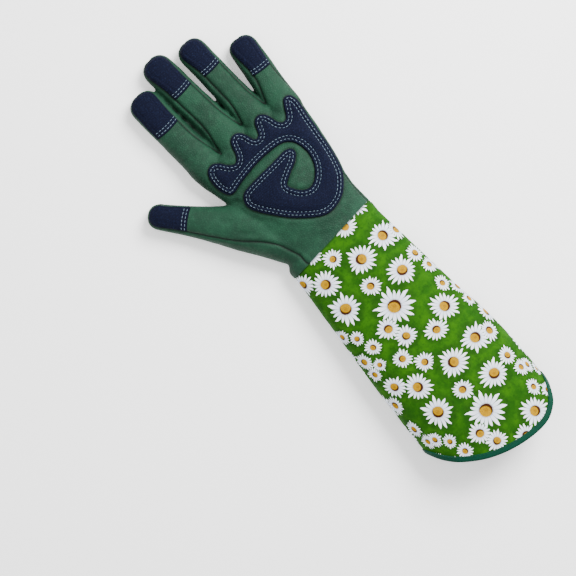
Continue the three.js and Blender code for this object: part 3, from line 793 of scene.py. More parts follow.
def print_daisies(piece, lay, tris):
    """Gives the corners of each outer triangle their place in the nearest daisy, and the daisy's number."""
    corners = lay[tris]
    middle = corners.mean(axis=1)
    best = np.full(len(tris), 99.0)
    local = np.zeros((len(tris), 3, 2))
    which = np.zeros(len(tris))
    for number, (across, along, radius) in enumerate(DAISIES):
        offset = middle - (across, along)
        turn = np.round(offset / TILE) * TILE
        share = np.linalg.norm(offset - turn, axis=1) / radius
        closer = share < best
        best[closer] = share[closer]
        local[closer] = (corners[closer] - (across, along) - turn[closer][:, None]) / (radius * 1.14)
        which[closer] = number + 1
    values = np.full((len(piece.data.loops), 3), 3.0)
    values[: 3 * len(tris), :2] = local.reshape(-1, 2)
    values[: 3 * len(tris), 2] = np.repeat(which, 3)
    made = piece.data.attributes.new("daisy", "FLOAT_VECTOR", "CORNER")
    made.data.foreach_set("vector", values.ravel())


def sheet_size(lay, tris):
    """Works out a cloth panel's flat area and the size of its lay coordinates' box; the result is not kept.
    """
    low, high = lay[np.unique(tris)].min(axis=0), lay[np.unique(tris)].max(axis=0)
    a, b, c = (lay[tris[:, k]] for k in range(3))
    area = 0.5 * np.abs((b - a)[:, 0] * (c - a)[:, 1] - (b - a)[:, 1] * (c - a)[:, 0]).sum()
    flat = (high - low) * MM
    min(area * MM * MM, flat[0] * flat[1])


hand_pieces = {}
for number, name in enumerate(HAND_PANELS):
    chosen = labels == number
    outer, part, inner, dark, plain = submesh(hand_outer, tris, chosen, hand_inner, seam_and_painted_shade, hand)
    piece = walled(name + "_sewn", outer, inner, part)
    # The seam attribute carries the dark seam lines with the painted shade and the painted shadow.
    give(piece, "seam", dark)
    hand_pieces[name] = mounted(piece, "daisy_print" if name == "back_panel" else "green_leather", name)
    if name == "back_panel":
        lay = plain[:, :2]
        give(piece, "lay", np.column_stack([lay, np.zeros(len(lay))]))
        print_daisies(piece, lay * (-1, 1) + (12, 40), part)
        sheet_size(lay, part)


# Pieces sewn on the hand's surface

def finer(columns, tris):
    """Each triangle in four."""
    edges = np.sort(np.concatenate([tris[:, [0, 1]], tris[:, [1, 2]], tris[:, [2, 0]]]), axis=1)
    unique, inverse = np.unique(edges, axis=0, return_inverse=True)
    inverse = inverse.reshape(-1)
    middle = (columns[unique[:, 0]] + columns[unique[:, 1]]) / 2
    n, count = len(tris), len(columns)
    ab, bc, ca = (inverse[k * n:(k + 1) * n] + count for k in range(3))
    a, b, c = tris.T
    quarters = ((a, ab, ca), (ab, b, bc), (ca, bc, c), (ab, bc, ca))
    return np.vstack([columns, middle]), np.concatenate([np.stack(quarter, axis=1) for quarter in quarters])


def laid_on(name, inside, upper_side, height, thickness=0.25):
    """A piece over the hand where inside is positive. height gives its face from its edge inwards."""
    data = np.column_stack([hand_outer, normals_of(hand_outer, tris), inside, hand[:, :2]])
    side = hand[:, 2] > SEAM_HEIGHT if upper_side else hand[:, 2] < SEAM_HEIGHT
    near = (inside[tris].max(axis=1) > 0) & side[tris].all(axis=1)
    data, part = submesh(data, tris, near)
    data, part = finer(data, part)
    data, part = split(data, part, data[:, 6])
    data, part = submesh(data, part, data[part].mean(axis=1)[:, 6] > 0)
    edge = np.unique(rim_edges(part))
    far, _ = distances(data[:, :3], data[edge, :3])
    top = height(far, data[:, 7:9])
    normal = unit(data[:, 3:6])
    outer = data[:, :3] + normal * (0.12 + top)[:, None]
    inner = data[:, :3] + normal * np.minimum(0.1, top)[:, None] - normal * thickness
    piece = walled(name, outer, inner, part)
    give(piece, "lay", np.column_stack([data[:, 7:9], far]))
    return piece, outer, part


def rounded_edge(far, radius, full):
    """Height near an edge, rounded up to its full height."""
    share = np.clip(far / radius, 0, 1)
    return full * np.sqrt(1 - (1 - share) ** 2)


def channels(far, threads, depth, width):
    """How deep the rows of thread draw a piece in."""
    return sum(depth * bell(far - thread, width) for thread in threads)


def waves(plan, size, seed):
    return rumple(np.column_stack([plan, np.zeros(len(plan))]), size, seed)


def patch_height(far, plan):
    drawn = channels(far, PATCH_THREADS, 0.3, 0.6) * smoothstep(0.8, 1.4, far)
    return rounded_edge(far, 1.0, PATCH_THICKNESS) + 0.12 * waves(plan, 7, 11) - drawn


def patch_outline(name, x, y):
    """Inside a patch's side and tip edges."""
    if name == "thumb":
        return outline_field(THUMB_RUN, THUMB["root"], THUMB["lean"], steady(3.6), steady(1.6), 2.4, x, y)
    left, right = FINGERS[name]["palm"]
    return finger_field(name, (left + 0.5 if left else 1.6, right + 0.3), TIP_INSET + 0.2, x, y)


hx, hy = hand[:, 0], hand[:, 1]
patches = []
for name, digit in {**FINGERS, "thumb": THUMB}.items():
    bow = 1.0 if name == "thumb" else -1.6
    foot = digit["length"] - digit["patch"]
    inside = np.minimum(patch_outline(name, hx, hy), line_past(digit, foot, hx, hy, bow))
    piece, outer, part = laid_on(name + "_patch_sewn", inside, True, patch_height)
    patches.append((mounted(piece, "navy_fabric", name + "_patch"), (outer, part), digit, foot, bow))


def inside_loop(run, x, y):
    """Distance inside a closed run of points, negative outside."""
    far, _ = distances(np.column_stack([x, y]), run)
    odd = np.zeros(len(x), bool)
    for (ax, ay), (bx, by) in zip(run, np.roll(run, -1, axis=0)):
        if ay != by:
            odd ^= ((ay > y) != (by > y)) & (x < (bx - ax) * (y - ay) / (by - ay) + ax)
    return np.where(odd, far, -far)


def pad_height(far, plan):
    puff = 1.6 + 0.95 * smoothstep(5.0, 10.0, far) + 0.3 * bell(far - 3.3, 0.9)
    drawn = channels(far, PAD_THREADS, 0.75, 0.55) * smoothstep(0.8, 1.6, far)
    wave = 0.35 * waves(plan, 16, 21) + 0.2 * waves(plan, 7, 22)
    return rounded_edge(far, 1.5, 1.0) * (puff + wave * smoothstep(3, 7, far)) - drawn


pad, pad_outer, pad_part = laid_on("palm_pad_sewn", inside_loop(pad_run, hx, hy), True, pad_height)
mounted(pad, "navy_fabric", "palm_pad")


def band_height(far, _):
    return rounded_edge(far, 1.0, 0.95) - channels(far, BAND_THREADS, 0.35, 0.6) * smoothstep(0.8, 1.4, far)


inside = np.minimum(hy - BAND_LOW - BAND_SLOPE * hx, BAND_HIGH + BAND_SLOPE * hx - hy)
inside = np.minimum(columns[:, BACK] + 0.4, inside)
band, band_outer, band_part = laid_on("knuckle_band_sewn", inside, False, band_height)
mounted(band, "dark_leather", "knuckle_band")


# The cuff

def cuff_ring(y, angle):
    """Across and height at a place along the cuff, for angles round its section."""
    along, left, right, top = (np.array(column) for column in zip(*CUFF_ROWS))
    order = np.argsort(along)
    wrist = palm_columns(np.array([0.0]))
    share = np.clip(y / CUFF_LENGTH, along[order][0], 0.02)
    along = np.r_[along[order], 0.0]
    left = np.r_[left[order], wrist[0] * PALM_WIDTH / CUFF_WIDTH]
    right = np.r_[right[order], wrist[1] * PALM_WIDTH / CUFF_WIDTH]
    top = np.r_[top[order], wrist[2] * PALM_THICKNESS / CUFF_THICKNESS]
    left, right, top = (smooth_column(along, column, share) for column in (left, right, top))
    left, right, top = left * CUFF_WIDTH, right * CUFF_WIDTH, top * CUFF_THICKNESS
    to_wrist = smoothstep(-0.12, 0.0, share)
    low = np.where(np.cos(angle) > 0, 2.0, FINGER_ROUND) * (1 - to_wrist) + PALM_ROUND * to_wrist
    x, z = ring(left, right, top, angle, low)
    beside = np.clip(4 * (x - (left + right) / 2) / ((right - left) / 2), 0, 1)
    return x, np.maximum(z, REST_HEIGHT + 2.4 * beside * (1 - to_wrist))


def grid_tris(rows, width, closed):
    """Triangles over a grid of points, row by row, closed round each row or not."""
    row, column = np.meshgrid(np.arange(rows - 1), np.arange(width if closed else width - 1), indexing="ij")
    a = (row * width + column).ravel()
    b = (row * width + (column + 1) % width).ravel()
    halves = ((a, a + width, b + width), (a, b + width, b))
    return np.concatenate([np.stack(half, axis=1) for half in halves])


SIDES, STATIONS = 192, 128
angle = np.tile(2 * np.pi * (np.arange(SIDES) + 0.5) / SIDES - np.pi / 2, (STATIONS, 1))
share = np.tile(np.linspace(0, 1, STATIONS)[:, None], (1, SIDES))
hem_line = smooth_run(np.array(HEM) * (CUFF_WIDTH, CUFF_LENGTH), 2.0, False)
cuff_y = np.full_like(share, -100.0)
for _ in range(12):
    cuff_x, cuff_z = cuff_ring(cuff_y, angle)
    start = wrist_line(cuff_x)
    end = np.interp(cuff_x, hem_line[:, 0], hem_line[:, 1])
    cuff_y = start + (end - start) * share
cuff = np.stack([cuff_x, cuff_y, cuff_z], axis=2)

# Lengths round the cuff lay the print flat: the palm's from the crest, the back's from the middle below.
steps = np.linalg.norm(np.diff(cuff, axis=1), axis=2)
lengths = np.concatenate([np.zeros((STATIONS, 1)), np.cumsum(steps, axis=1)], axis=1)
lay_up = lengths[:, SIDES // 2][:, None] - lengths
round_cuff = lengths[:, -1:] + np.linalg.norm(cuff[:, :1] - cuff[:, -1:], axis=2)
lay_low = np.where(np.arange(SIDES) < SIDES // 2, lengths, lengths - round_cuff)
cuff_tris = grid_tris(STATIONS, SIDES, True)[:, ::-1]
cuff = cuff.reshape(-1, 3)
cuff_normals = normals_of(cuff, cuff_tris)
cuff_columns = np.column_stack([cuff, lay_up.ravel(), lay_low.ravel(), share.ravel(), cuff_normals])

# The columns that hold the lays of both panels, and the share of the way to the hem.
PALM_LAY, BACK_LAY, DOWN = 3, 4, 5


def slit_half(y):
    """Half the slit's width at places along it."""
    return SLIT_HALF + SLIT_SPREAD * np.clip((SLIT_APEX - y) / (SLIT_APEX - SLIT_FOOT), 0, 2)


def slit_field(points):
    """Positive in the slit, which is on the underside alone."""
    x, y, z = points[:, :3].T
    return np.minimum(np.minimum(slit_half(y) - np.abs(x - SLIT_ACROSS), SLIT_APEX - y), 15.4 - z)


def palm_side(points):
    """Positive on the palm panel, which wraps round to the slit."""
    return np.maximum(points[:, 2] - 9.0, points[:, 0] - SLIT_ACROSS)


whole_cuff, whole_tris = cuff_columns, cuff_tris
cuff_columns, cuff_tris = split(cuff_columns, cuff_tris, palm_side(cuff_columns))
cuff_columns, cuff_tris = split(cuff_columns, cuff_tris, slit_field(cuff_columns))
middles = cuff_columns[cuff_tris].mean(axis=1)
cuff_tris = cuff_tris[slit_field(middles) < 0]
cuff_labels = (palm_side(cuff_columns[cuff_tris].mean(axis=1)) > 0).astype(int)


def cuff_lift(points, seams):
    """How far the cuff's cloth stands off its plain form."""
    place = points[:, :3]
    upper = smoothstep(6, 14, place[:, 2])
    soft = 1.3 * rumple(place, 48, 31, (1, 0.45, 1)) + 0.55 * rumple(place, 21, 32, (1, 0.6, 1))
    soft += 0.16 * rumple(place, 8, 33)
    from_wrist = points[:, DOWN] * 200
    from_hem = (1 - points[:, DOWN]) * 200
    pucker = np.exp(-from_wrist / 9) * 0.7 * rumple(place, 6, 34, (1, 0.25, 1))
    pucker += np.exp(-from_hem / 8) * 0.45 * rumple(place, 9, 35, (1, 0.4, 1))
    lift = (soft * smoothstep(0, 14, from_wrist) + pucker) * (0.12 + 0.88 * upper)
    lift -= 0.9 * bell(from_wrist, 1.5)
    if len(seams):
        far, _ = distances(place, seams)
        lift -= 0.6 * bell(far, 1.3)
    return lift


both = np.intersect1d(cuff_tris[cuff_labels == 1], cuff_tris[cuff_labels == 0])
side_seams = cuff_columns[both, :3]
cuff_normals = unit(cuff_columns[:, 6:])
cuff_outer = cuff_columns[:, :3] + cuff_normals * cuff_lift(cuff_columns, side_seams)[:, None]
cuff_outer[:, 2] = np.maximum(cuff_outer[:, 2], REST_HEIGHT)
cuff_inner = cuff_outer - cuff_normals * WALL
# Dark lines at the side seams and at the wrist seam, partly the seams' own dark and partly painted shade in
# their grooves.
seam_far, _ = distances(cuff_columns[:, :3], side_seams)
cuff_seam_shade = np.maximum(bell(seam_far, 0.9), bell(cuff_columns[:, DOWN] * 200, 1.3))


# Tape bound over an edge

def ways_along(run):
    """From the point before to the point after each point of a closed run."""
    return np.roll(run, -1, axis=0) - np.roll(run, 1, axis=0)


def softened(run, weight):
    """Each point of a closed run moved towards its two neighbours."""
    return (np.roll(run, 1, axis=0) + weight * run + np.roll(run, -1, axis=0)) / (weight + 2)


def edge_path(outer, inner, tris, keep=None):
    """The longest open edge of a sheet as even points, with its normals and the way into the cloth."""
    after = {int(a): int(b) for a, b in rim_edges(tris)}
    loops = []
    while after:
        start = next(iter(after))
        loop, at = [start], after.pop(start)
        while at in after:
            loop.append(at)
            at = after.pop(at)
        loops.append(loop)
    loop = max((loop for loop in loops if keep is None or keep(outer[loop])), key=len)
    loop.append(loop[0])
    middle = (outer[loop] + inner[loop]) / 2
    steps = lengths_along(middle)
    at = np.linspace(0, steps[-1], int(steps[-1] / 1.6), endpoint=False)
    run, lean = places_at(at, steps, middle), places_at(at, steps, outer[loop] - inner[loop])
    for _ in range(2):
        run, lean = softened(run, 2), softened(lean, 2)
    lean = unit(lean)
    inward = np.cross(lean, ways_along(run))
    for _ in range(2):
        inward = softened(inward, 1)
    return run, lean, unit(inward), at


def bound_edge(name, path, half, cover):
    """Tape folded round an edge. half is half the cloth's thickness and cover the tape's thickness."""
    run, lean, inward, at = path
    full, width = half + cover, BINDING_WIDTH
    upper = [
        (width - 0.2, half - 0.05), (width, half + cover * 0.45), (width - 0.35, full), (3.0, full * 0.985),
        (2.0, full), (1.0, full), (0.1, full * 0.96), (-0.75 * cover, full * 0.6),
    ]
    lower = [(across, -height) for across, height in reversed(upper)]
    fold = [(0.3, -half + 0.05), (0.1, 0.0), (0.3, half - 0.05)]
    profile = upper + [(-cover, 0.0)] + lower + fold
    count = len(profile)
    ripple = 1 + 0.02 * np.sin(at / 3.1) + 0.015 * np.sin(at / 1.7)
    rings = [run + inward * w + lean * (n * ripple)[:, None] for w, n in profile]
    points = np.stack(rings, axis=1).reshape(-1, 3)
    faces, n = [], len(run)
    for i in range(n):
        j = (i + 1) % n
        for k in range(count):
            m = (k + 1) % count
            faces.append((i * count + k, i * count + m, j * count + m, j * count + k))
    piece = new_object(name, points, faces)
    around = np.tile(np.linspace(0, 2 * BINDING_WIDTH + 2, count), n)
    give(piece, "lay", np.column_stack([around, np.repeat(at, count), np.zeros(n * count)]))
    facing_out(piece)
    bpy.ops.object.shade_smooth_by_angle(angle=math.radians(50))
    return piece


def stitches(name, groups, slot, length=2.1, radius=0.25):
    """Short threads. Each group gives their middles, the cloth's normals there and their ways."""
    sides, points, faces = 6, [], []
    stations = [
        (-1.0, 0.3, -0.35), (-0.8, 0.85, -0.05), (0.0, 1.0, 0.1), (0.8, 0.85, -0.05), (1.0, 0.3, -0.35),
    ]
    turns = 2 * np.pi * np.arange(sides) / sides
    for centres, normals, ways in groups:
        for centre, normal, way in zip(centres, normals, ways):
            side = np.cross(normal, way)
            start = len(points)
            for place, size, rise in stations:
                middle = centre + way * place * length / 2 + normal * rise * radius
                for t in turns:
                    points.append(middle + (side * math.cos(t) + normal * math.sin(t)) * radius * size)
            faces += tube_faces(start, len(stations), sides)
    piece = new_object(name, points, faces)
    facing_out(piece)
    bpy.ops.object.shade_smooth()
    return mounted(piece, slot)


def on_surface(surface, plan, above, closed, pitch=3.1):
    """Stitch places along a plan path, dropped on a surface from above or below."""
    outer, tris = surface
    tree = BVHTree.FromPolygons([tuple(p) for p in outer], [tuple(map(int, t)) for t in tris])
    plan = np.vstack([plan, plan[:1]]) if closed else plan
    steps = lengths_along(plan)
    at = np.arange(pitch / 2, steps[-1] - pitch / 4, pitch)
    places, ahead = places_at(at, steps, plan), places_at(np.minimum(at + 0.8, steps[-1]), steps, plan)
    found = []
    for (x, y), (ax, ay) in zip(places, ahead):
        height, way = (100, -1) if above else (-50, 1)
        hit = tree.ray_cast(Vector((x, y, height)), Vector((0, 0, way)))
        if hit[0] is None:
            continue
        normal = np.array(hit[1])
        if normal[2] * way > 0:
            normal = -normal
        along = np.array([ax - x, ay - y, 0.0])
        along -= normal * (along @ normal)
        size = np.linalg.norm(along)
        if size > 0.05:
            found.append((np.array(hit[0]), normal, along / size))
    if not found:
        return np.zeros((0, 3)), np.zeros((0, 3)), np.zeros((0, 3))
    return tuple(np.array(part) for part in zip(*found))


# The cuff's panels and its bound edge

hem_path = edge_path(cuff_outer, cuff_inner, cuff_tris, lambda loop: loop[:, 1].min() < -150)
binding = bound_edge("hem_binding_sewn", hem_path, *HEM_TAPE)
mounted(binding, "binding_tape", "hem_binding")
cuff_pieces = {}
for label, name, lay_column in ((1, "cuff_palm", PALM_LAY), (0, "cuff_back", BACK_LAY)):
    extra = (cuff_inner, cuff_seam_shade, cuff_columns)
    outer, part, inner, dark, data = submesh(cuff_outer, cuff_tris, cuff_labels == label, *extra)
    piece = walled(name + "_sewn", outer, inner, part)
    lay = data[:, [lay_column, 1]]
    # The seam attribute carries these dark seam lines with their painted shade.
    give(piece, "seam", dark)
    give(piece, "lay", np.column_stack([lay, np.zeros(len(lay))]))
    print_daisies(piece, lay / (1.05, 1.0), part)
    cuff_pieces[name] = (mounted(piece, "daisy_print", name), len(part))
    sheet_size(lay, part)


# The strap and its hook patch, under the cuff

whole_outer = whole_cuff[:, :3] + whole_cuff[:, 6:] * cuff_lift(whole_cuff, [])[:, None]
whole_outer[:, 2] = np.maximum(whole_outer[:, 2], REST_HEIGHT)
cuff_tree = BVHTree.FromPolygons([tuple(p) for p in whole_outer], [tuple(map(int, t)) for t in whole_tris])


def underside(x, y):
    """Height of the cuff's underside, as if the slit were closed."""
    heights = []
    for place in zip(x, y):
        hit = cuff_tree.ray_cast(Vector((*place, -50)), Vector((0, 0, 1)))
        heights.append(hit[0].z if hit[0] is not None else 11.0)
    return np.array(heights)


def cut_out(field, low, high, step=1.0):
    """A flat sheet beside the strap's middle line, where field is positive."""
    across = np.arange(low[0], high[0] + step, step)
    along = np.arange(low[1], high[1] + step, step)
    grid = np.stack(np.meshgrid(across, along, indexing="ij"), axis=2).reshape(-1, 2)
    quads = grid_tris(len(across), len(along), False)
    grid, quads = split(grid, quads, field(grid[:, 0], grid[:, 1]))
    middle = grid[quads].mean(axis=1)
    return submesh(grid, quads, field(middle[:, 0], middle[:, 1]) > 0)


def tab_field(across, along):
    """Positive on the strap, which has one round end and stops at the cuff's side."""
    round_end = STRAP["half"] - np.hypot(across, np.maximum(along - (STRAP["length"] - STRAP["half"]), 0))
    x, _ = turned(STRAP["root"], STRAP["lean"], across, along)
    return np.minimum(np.minimum(round_end, along), 57.0 - x)


def hook_field(across, along):
    """Positive on the hook patch, which keeps clear of the slit's tape."""
    x, y = turned(STRAP["root"], STRAP["lean"], across, along)
    clear = SLIT_ACROSS - x - slit_half(y) - BINDING_WIDTH - GAP
    return np.minimum(np.minimum(9.5 - np.abs(across - 8), 2.5 + np.minimum(along - 18, 48 - along)), clear)


def under_cuff(name, field, top_gap, thickness):
    """A piece cut out by a field and laid under the cuff, top_gap below it."""
    plan, part = cut_out(field, (-14, -2), (20, STRAP["length"] + 2))
    x, y = turned(STRAP["root"], STRAP["lean"], plan[:, 0], plan[:, 1])
    top = underside(x, y) - top_gap(plan[:, 1])
    far, _ = distances(plan, plan[np.unique(rim_edges(part))])
    edge = thickness * 0.5 + rounded_edge(far, 0.6, thickness * 0.5)
    upper = np.column_stack([x, y, top])
    lower = np.column_stack([x, y, top - edge])
    a, b, c = (lower[part[:, k]] for k in range(3))
    if np.cross(b - a, c - a)[:, 2].sum() > 0:
        part = part[:, ::-1]
    piece = walled(name, lower, upper, part)
    give(piece, "lay", np.column_stack([plan, far]))
    return piece, lower, upper, part, plan


hook, *_ = under_cuff("hook_patch_sewn", hook_field, lambda along: 0.25, 1.0)
mounted(hook, "hook_and_loop", "hook_patch")
strap, strap_outer, strap_inner, strap_part, strap_plan = under_cuff(
    "strap_tab_sewn", tab_field, lambda along: 0.4 + 1.2 * smoothstep(4, 15, along), 1.3)
mounted(strap, "daisy_print", "strap_tab")
print_daisies(strap, strap_plan + (-6, -60), strap_part)
strap_path = edge_path(strap_outer, strap_inner, strap_part)
strap_tape = bound_edge("strap_binding_sewn", strap_path, *STRAP_TAPE)
mounted(strap_tape, "binding_tape", "strap_binding")
sheet_size(strap_plan, strap_part)


# Stitching

def inset_run(run, distance):
    """A closed run moved inwards by a distance."""
    way = unit(ways_along(run))
    normal = np.stack([-way[:, 1], way[:, 0]], axis=1)
    area = (run[:, 0] * np.roll(run[:, 1], -1) - np.roll(run[:, 0], -1) * run[:, 1]).sum()
    moved = run + normal * distance * (1 if area > 0 else -1)
    far, _ = distances(moved, run)
    return moved[far > distance * 0.93]


def rows_across(surface, digit, foot, bow, threads, reach, count, above):
    """Rows of thread on bowed lines across a finger or the thumb."""
    across = np.linspace(-reach, reach, count)
    rows = []
    for thread in threads:
        line = turned(digit["root"], digit["lean"], across, foot + thread + bowed(across, bow))
        rows.append(on_surface(surface, np.stack(line, axis=1), above, False))
    return rows


pad_rows = []
for thread in PAD_THREADS:
    pad_rows.append(on_surface((pad_outer, pad_part), inset_run(pad_run, thread), True, True))
stitches("pad_stitching", pad_rows, "navy_fabric")

patch_rows = []
for _, surface, digit, foot, bow in patches:
    patch_rows += rows_across(surface, digit, foot, bow, PATCH_THREADS, 14, 40, True)
stitches("patch_stitching", patch_rows, "navy_fabric")

band_rows = []
across = np.linspace(-60, 60, 160)
for base, way in ((BAND_LOW, 1), (BAND_HIGH, -1)):
    for thread in BAND_THREADS:
        line = np.stack([across, base + BAND_SLOPE * across + way * thread], axis=1)
        band_rows.append(on_surface((band_outer, band_part), line, False, False))
stitches("band_stitching", band_rows, "dark_leather")

cap_rows = []
for place, finger in enumerate(FINGERS.values()):
    surface = (hand_outer, tris[labels == FIRST_CAP + place])
    foot = finger["length"] - finger["cap"] - 2.0
    cap_rows += rows_across(surface, finger, foot, 2.0, CAP_THREADS, 10, 30, False)
stitches("cap_stitching", cap_rows, "green_leather")

tape_rows = []
for (run, lean, inward, at), (half, cover) in ((hem_path, HEM_TAPE), (strap_path, STRAP_TAPE)):
    centres = run + inward * 3.3 + lean * (half + cover)
    tape_rows.append((centres[::2], lean[::2], unit(ways_along(run))[::2]))
stitches("tape_stitching", tape_rows, "binding_tape", 1.9, 0.22)


# Materials

class Number:
    """A shader value that takes part in plain arithmetic."""

    def __init__(self, maker, socket):
        self.maker, self.socket = maker, socket

    def maths(self, operation, *others):
        return self.maker.add("ShaderNodeMath", {"operation": operation}, self, *others)

    def __add__(self, other):
        return self.maths("ADD", other)

    __radd__ = __add__

    def __sub__(self, other):
        return self.maths("SUBTRACT", other)

    def __rsub__(self, other):
        return (self * -1.0) + other

    def __mul__(self, other):
        return self.maths("MULTIPLY", other)

    __rmul__ = __mul__

    def __truediv__(self, other):
        return self.maths("DIVIDE", other)

    def __pow__(self, other):
        return self.maths("POWER", other)

    def __abs__(self):
        return self.maths("ABSOLUTE")

    def least(self, other):
        return self.maths("MINIMUM", other)

    def most(self, other):
        return self.maths("MAXIMUM", other)

    def sine(self):
        return self.maths("SINE")

    def ramp(self, low, high):
        """From 0 at low to 1 at high, and smooth between."""
        smooth = {"interpolation_type": "SMOOTHSTEP"}
        return self.maker.add("ShaderNodeMapRange", smooth, self, low, high, 0.0, 1.0)


class Maker:
    """Builds one material's nodes."""

    def __init__(self, name, roughness, specular=0.08):
        self.material = bpy.data.materials.new(name)
        self.material.use_nodes = True
        self.tree = self.material.node_tree
        self.surface = next(n for n in self.tree.nodes if n.type == "BSDF_PRINCIPLED")
        self.surface.inputs["Roughness"].default_value = roughness
        self.surface.inputs["Specular IOR Level"].default_value = specular

    def put(self, socket, value):
        if isinstance(value, Number):
            self.tree.links.new(value.socket, socket)
        elif value is not None:
            socket.default_value = value

    def add(self, kind, settings, *values, output=0, **named):
        node = self.tree.nodes.new(kind)
        for key, value in settings.items():
            setattr(node, key, value)
        for socket, value in zip(node.inputs, values):
            self.put(socket, value)
        for key, value in named.items():
            self.put(node.inputs[key.replace("_", " ").title()], value)
        return Number(self, node.outputs[output])

    def place(self):
        return self.add("ShaderNodeTexCoord", {}, output=3)

    def stored(self, name, output=1):
        """A stored vector, or with output 2 a stored number."""
        return self.add("ShaderNodeAttribute", {"attribute_name": name}, output=output)

    def apart(self, vector):
        node = self.tree.nodes.new("ShaderNodeSeparateXYZ")
        self.put(node.inputs[0], vector)
        return [Number(self, out) for out in node.outputs]

    def together(self, x, y, z=0.0):
        return self.add("ShaderNodeCombineXYZ", {}, x, y, z)

    def noise(self, vector, scale, detail=2.0, rough=0.5):
        named = dict(vector=vector, scale=scale, detail=detail, roughness=rough)
        return self.add("ShaderNodeTexNoise", {}, **named)

    def mix(self, share, first, second):
        node = self.tree.nodes.new("ShaderNodeMix")
        node.data_type = "RGBA"
        self.put(node.inputs["Factor"], share)
        self.put(node.inputs[6], first)
        self.put(node.inputs[7], second)
        return Number(self, node.outputs[2])

    def finish(self, colour, bump=None, strength=0.5, reach=0.0004, roughness=None):
        self.put(self.surface.inputs["Base Color"], colour)
        if roughness is not None:
            self.put(self.surface.inputs["Roughness"], roughness)
        if bump is not None:
            node = self.tree.nodes.new("ShaderNodeBump")
            self.put(node.inputs["Strength"], strength)
            self.put(node.inputs["Distance"], reach)
            self.put(node.inputs["Height"], bump)
            self.tree.links.new(node.outputs[0], self.surface.inputs["Normal"])
        return self.material


def rgb(red, green, blue):
    """A colour as it looks on screen, made linear for the shader."""
    shares = [value / 255 for value in (red, green, blue)]
    return (*[s / 12.92 if s <= 0.04 else ((s + 0.055) / 1.055) ** 2.4 for s in shares], 1.0)


def leather(name, light, middle, dark, seam):
    m = Maker(name, 0.6, 0.16)
    place = m.place()
    clouds = m.noise(place, 38.0, 4.0, 0.6)
    mottle = m.noise(place, 170.0, 3.0, 0.6)
    colour = m.mix(clouds.ramp(0.38, 0.66), dark, middle)
    colour = m.mix(mottle.ramp(0.45, 0.75) * 0.35, colour, light)
    grain = m.add("ShaderNodeTexVoronoi", {"feature": "DISTANCE_TO_EDGE"}, vector=place, scale=620.0)
    colour = m.mix((1.0 - grain.ramp(0.0, 0.16)) * 0.22, colour, seam)
    # Darkened where the seam attribute is high: dark seam lines with painted shade in their grooves,
    # painted shadow between the fingers and painted shade beside the pad.
    colour = m.mix(m.stored("seam", 2).ramp(0.12, 0.95) * 0.85, colour, seam)
    fine = m.noise(place, 2600.0, 2.0, 0.6)
    height = grain.ramp(0.0, 0.3) * 0.7 + fine * 0.4 + mottle * 1.2
    return m.finish(colour, height, 0.55, 0.00045, roughness=0.56 + 0.16 * clouds)


green_leather = leather("green leather", rgb(30, 72, 50), rgb(18, 56, 38), rgb(12, 45, 30), rgb(2, 11, 7))
dark_leather = leather("dark green leather", rgb(14, 60, 34), rgb(9, 46, 26), rgb(6, 36, 20), rgb(1, 10, 5))


def navy_weave(name):
    m = Maker(name, 0.82)
    u, v, far = m.apart(m.stored("lay"))
    place = m.place()
    warp = (u * 5.2 + v * 2.6).sine() * 0.5 + 0.5
    weft = (v * 7.4 - u * 1.2).sine() * 0.5 + 0.5
    weave = warp * 0.6 + weft * 0.4
    flecks = m.noise(m.together(u * 0.55, v * 1.7, 0.0), 1.5, 3.0, 0.7)
    slubs = m.noise(m.together(u * 1.7, v * 0.4, 3.0), 1.3, 3.0, 0.7)
    colour = m.mix(weave.ramp(0.2, 0.9) * 0.5, rgb(4, 6, 20), rgb(9, 13, 36))
    colour = m.mix(flecks.ramp(0.54, 0.72) * 0.6, colour, rgb(32, 44, 80))
    colour = m.mix(slubs.ramp(0.56, 0.74) * 0.4, colour, rgb(42, 54, 88))
    # Painted shade along the patch's rolled-down edge, darkest at the edge itself.
    colour = m.mix((1.0 - far.ramp(0.0, 1.1)) * 0.55, colour, rgb(2, 4, 12))
    height = weave * 0.8 + m.noise(place, 900.0, 2.0, 0.5) * 0.8
    return m.finish(colour, height, 0.6, 0.0004)


navy = navy_weave("navy weave")


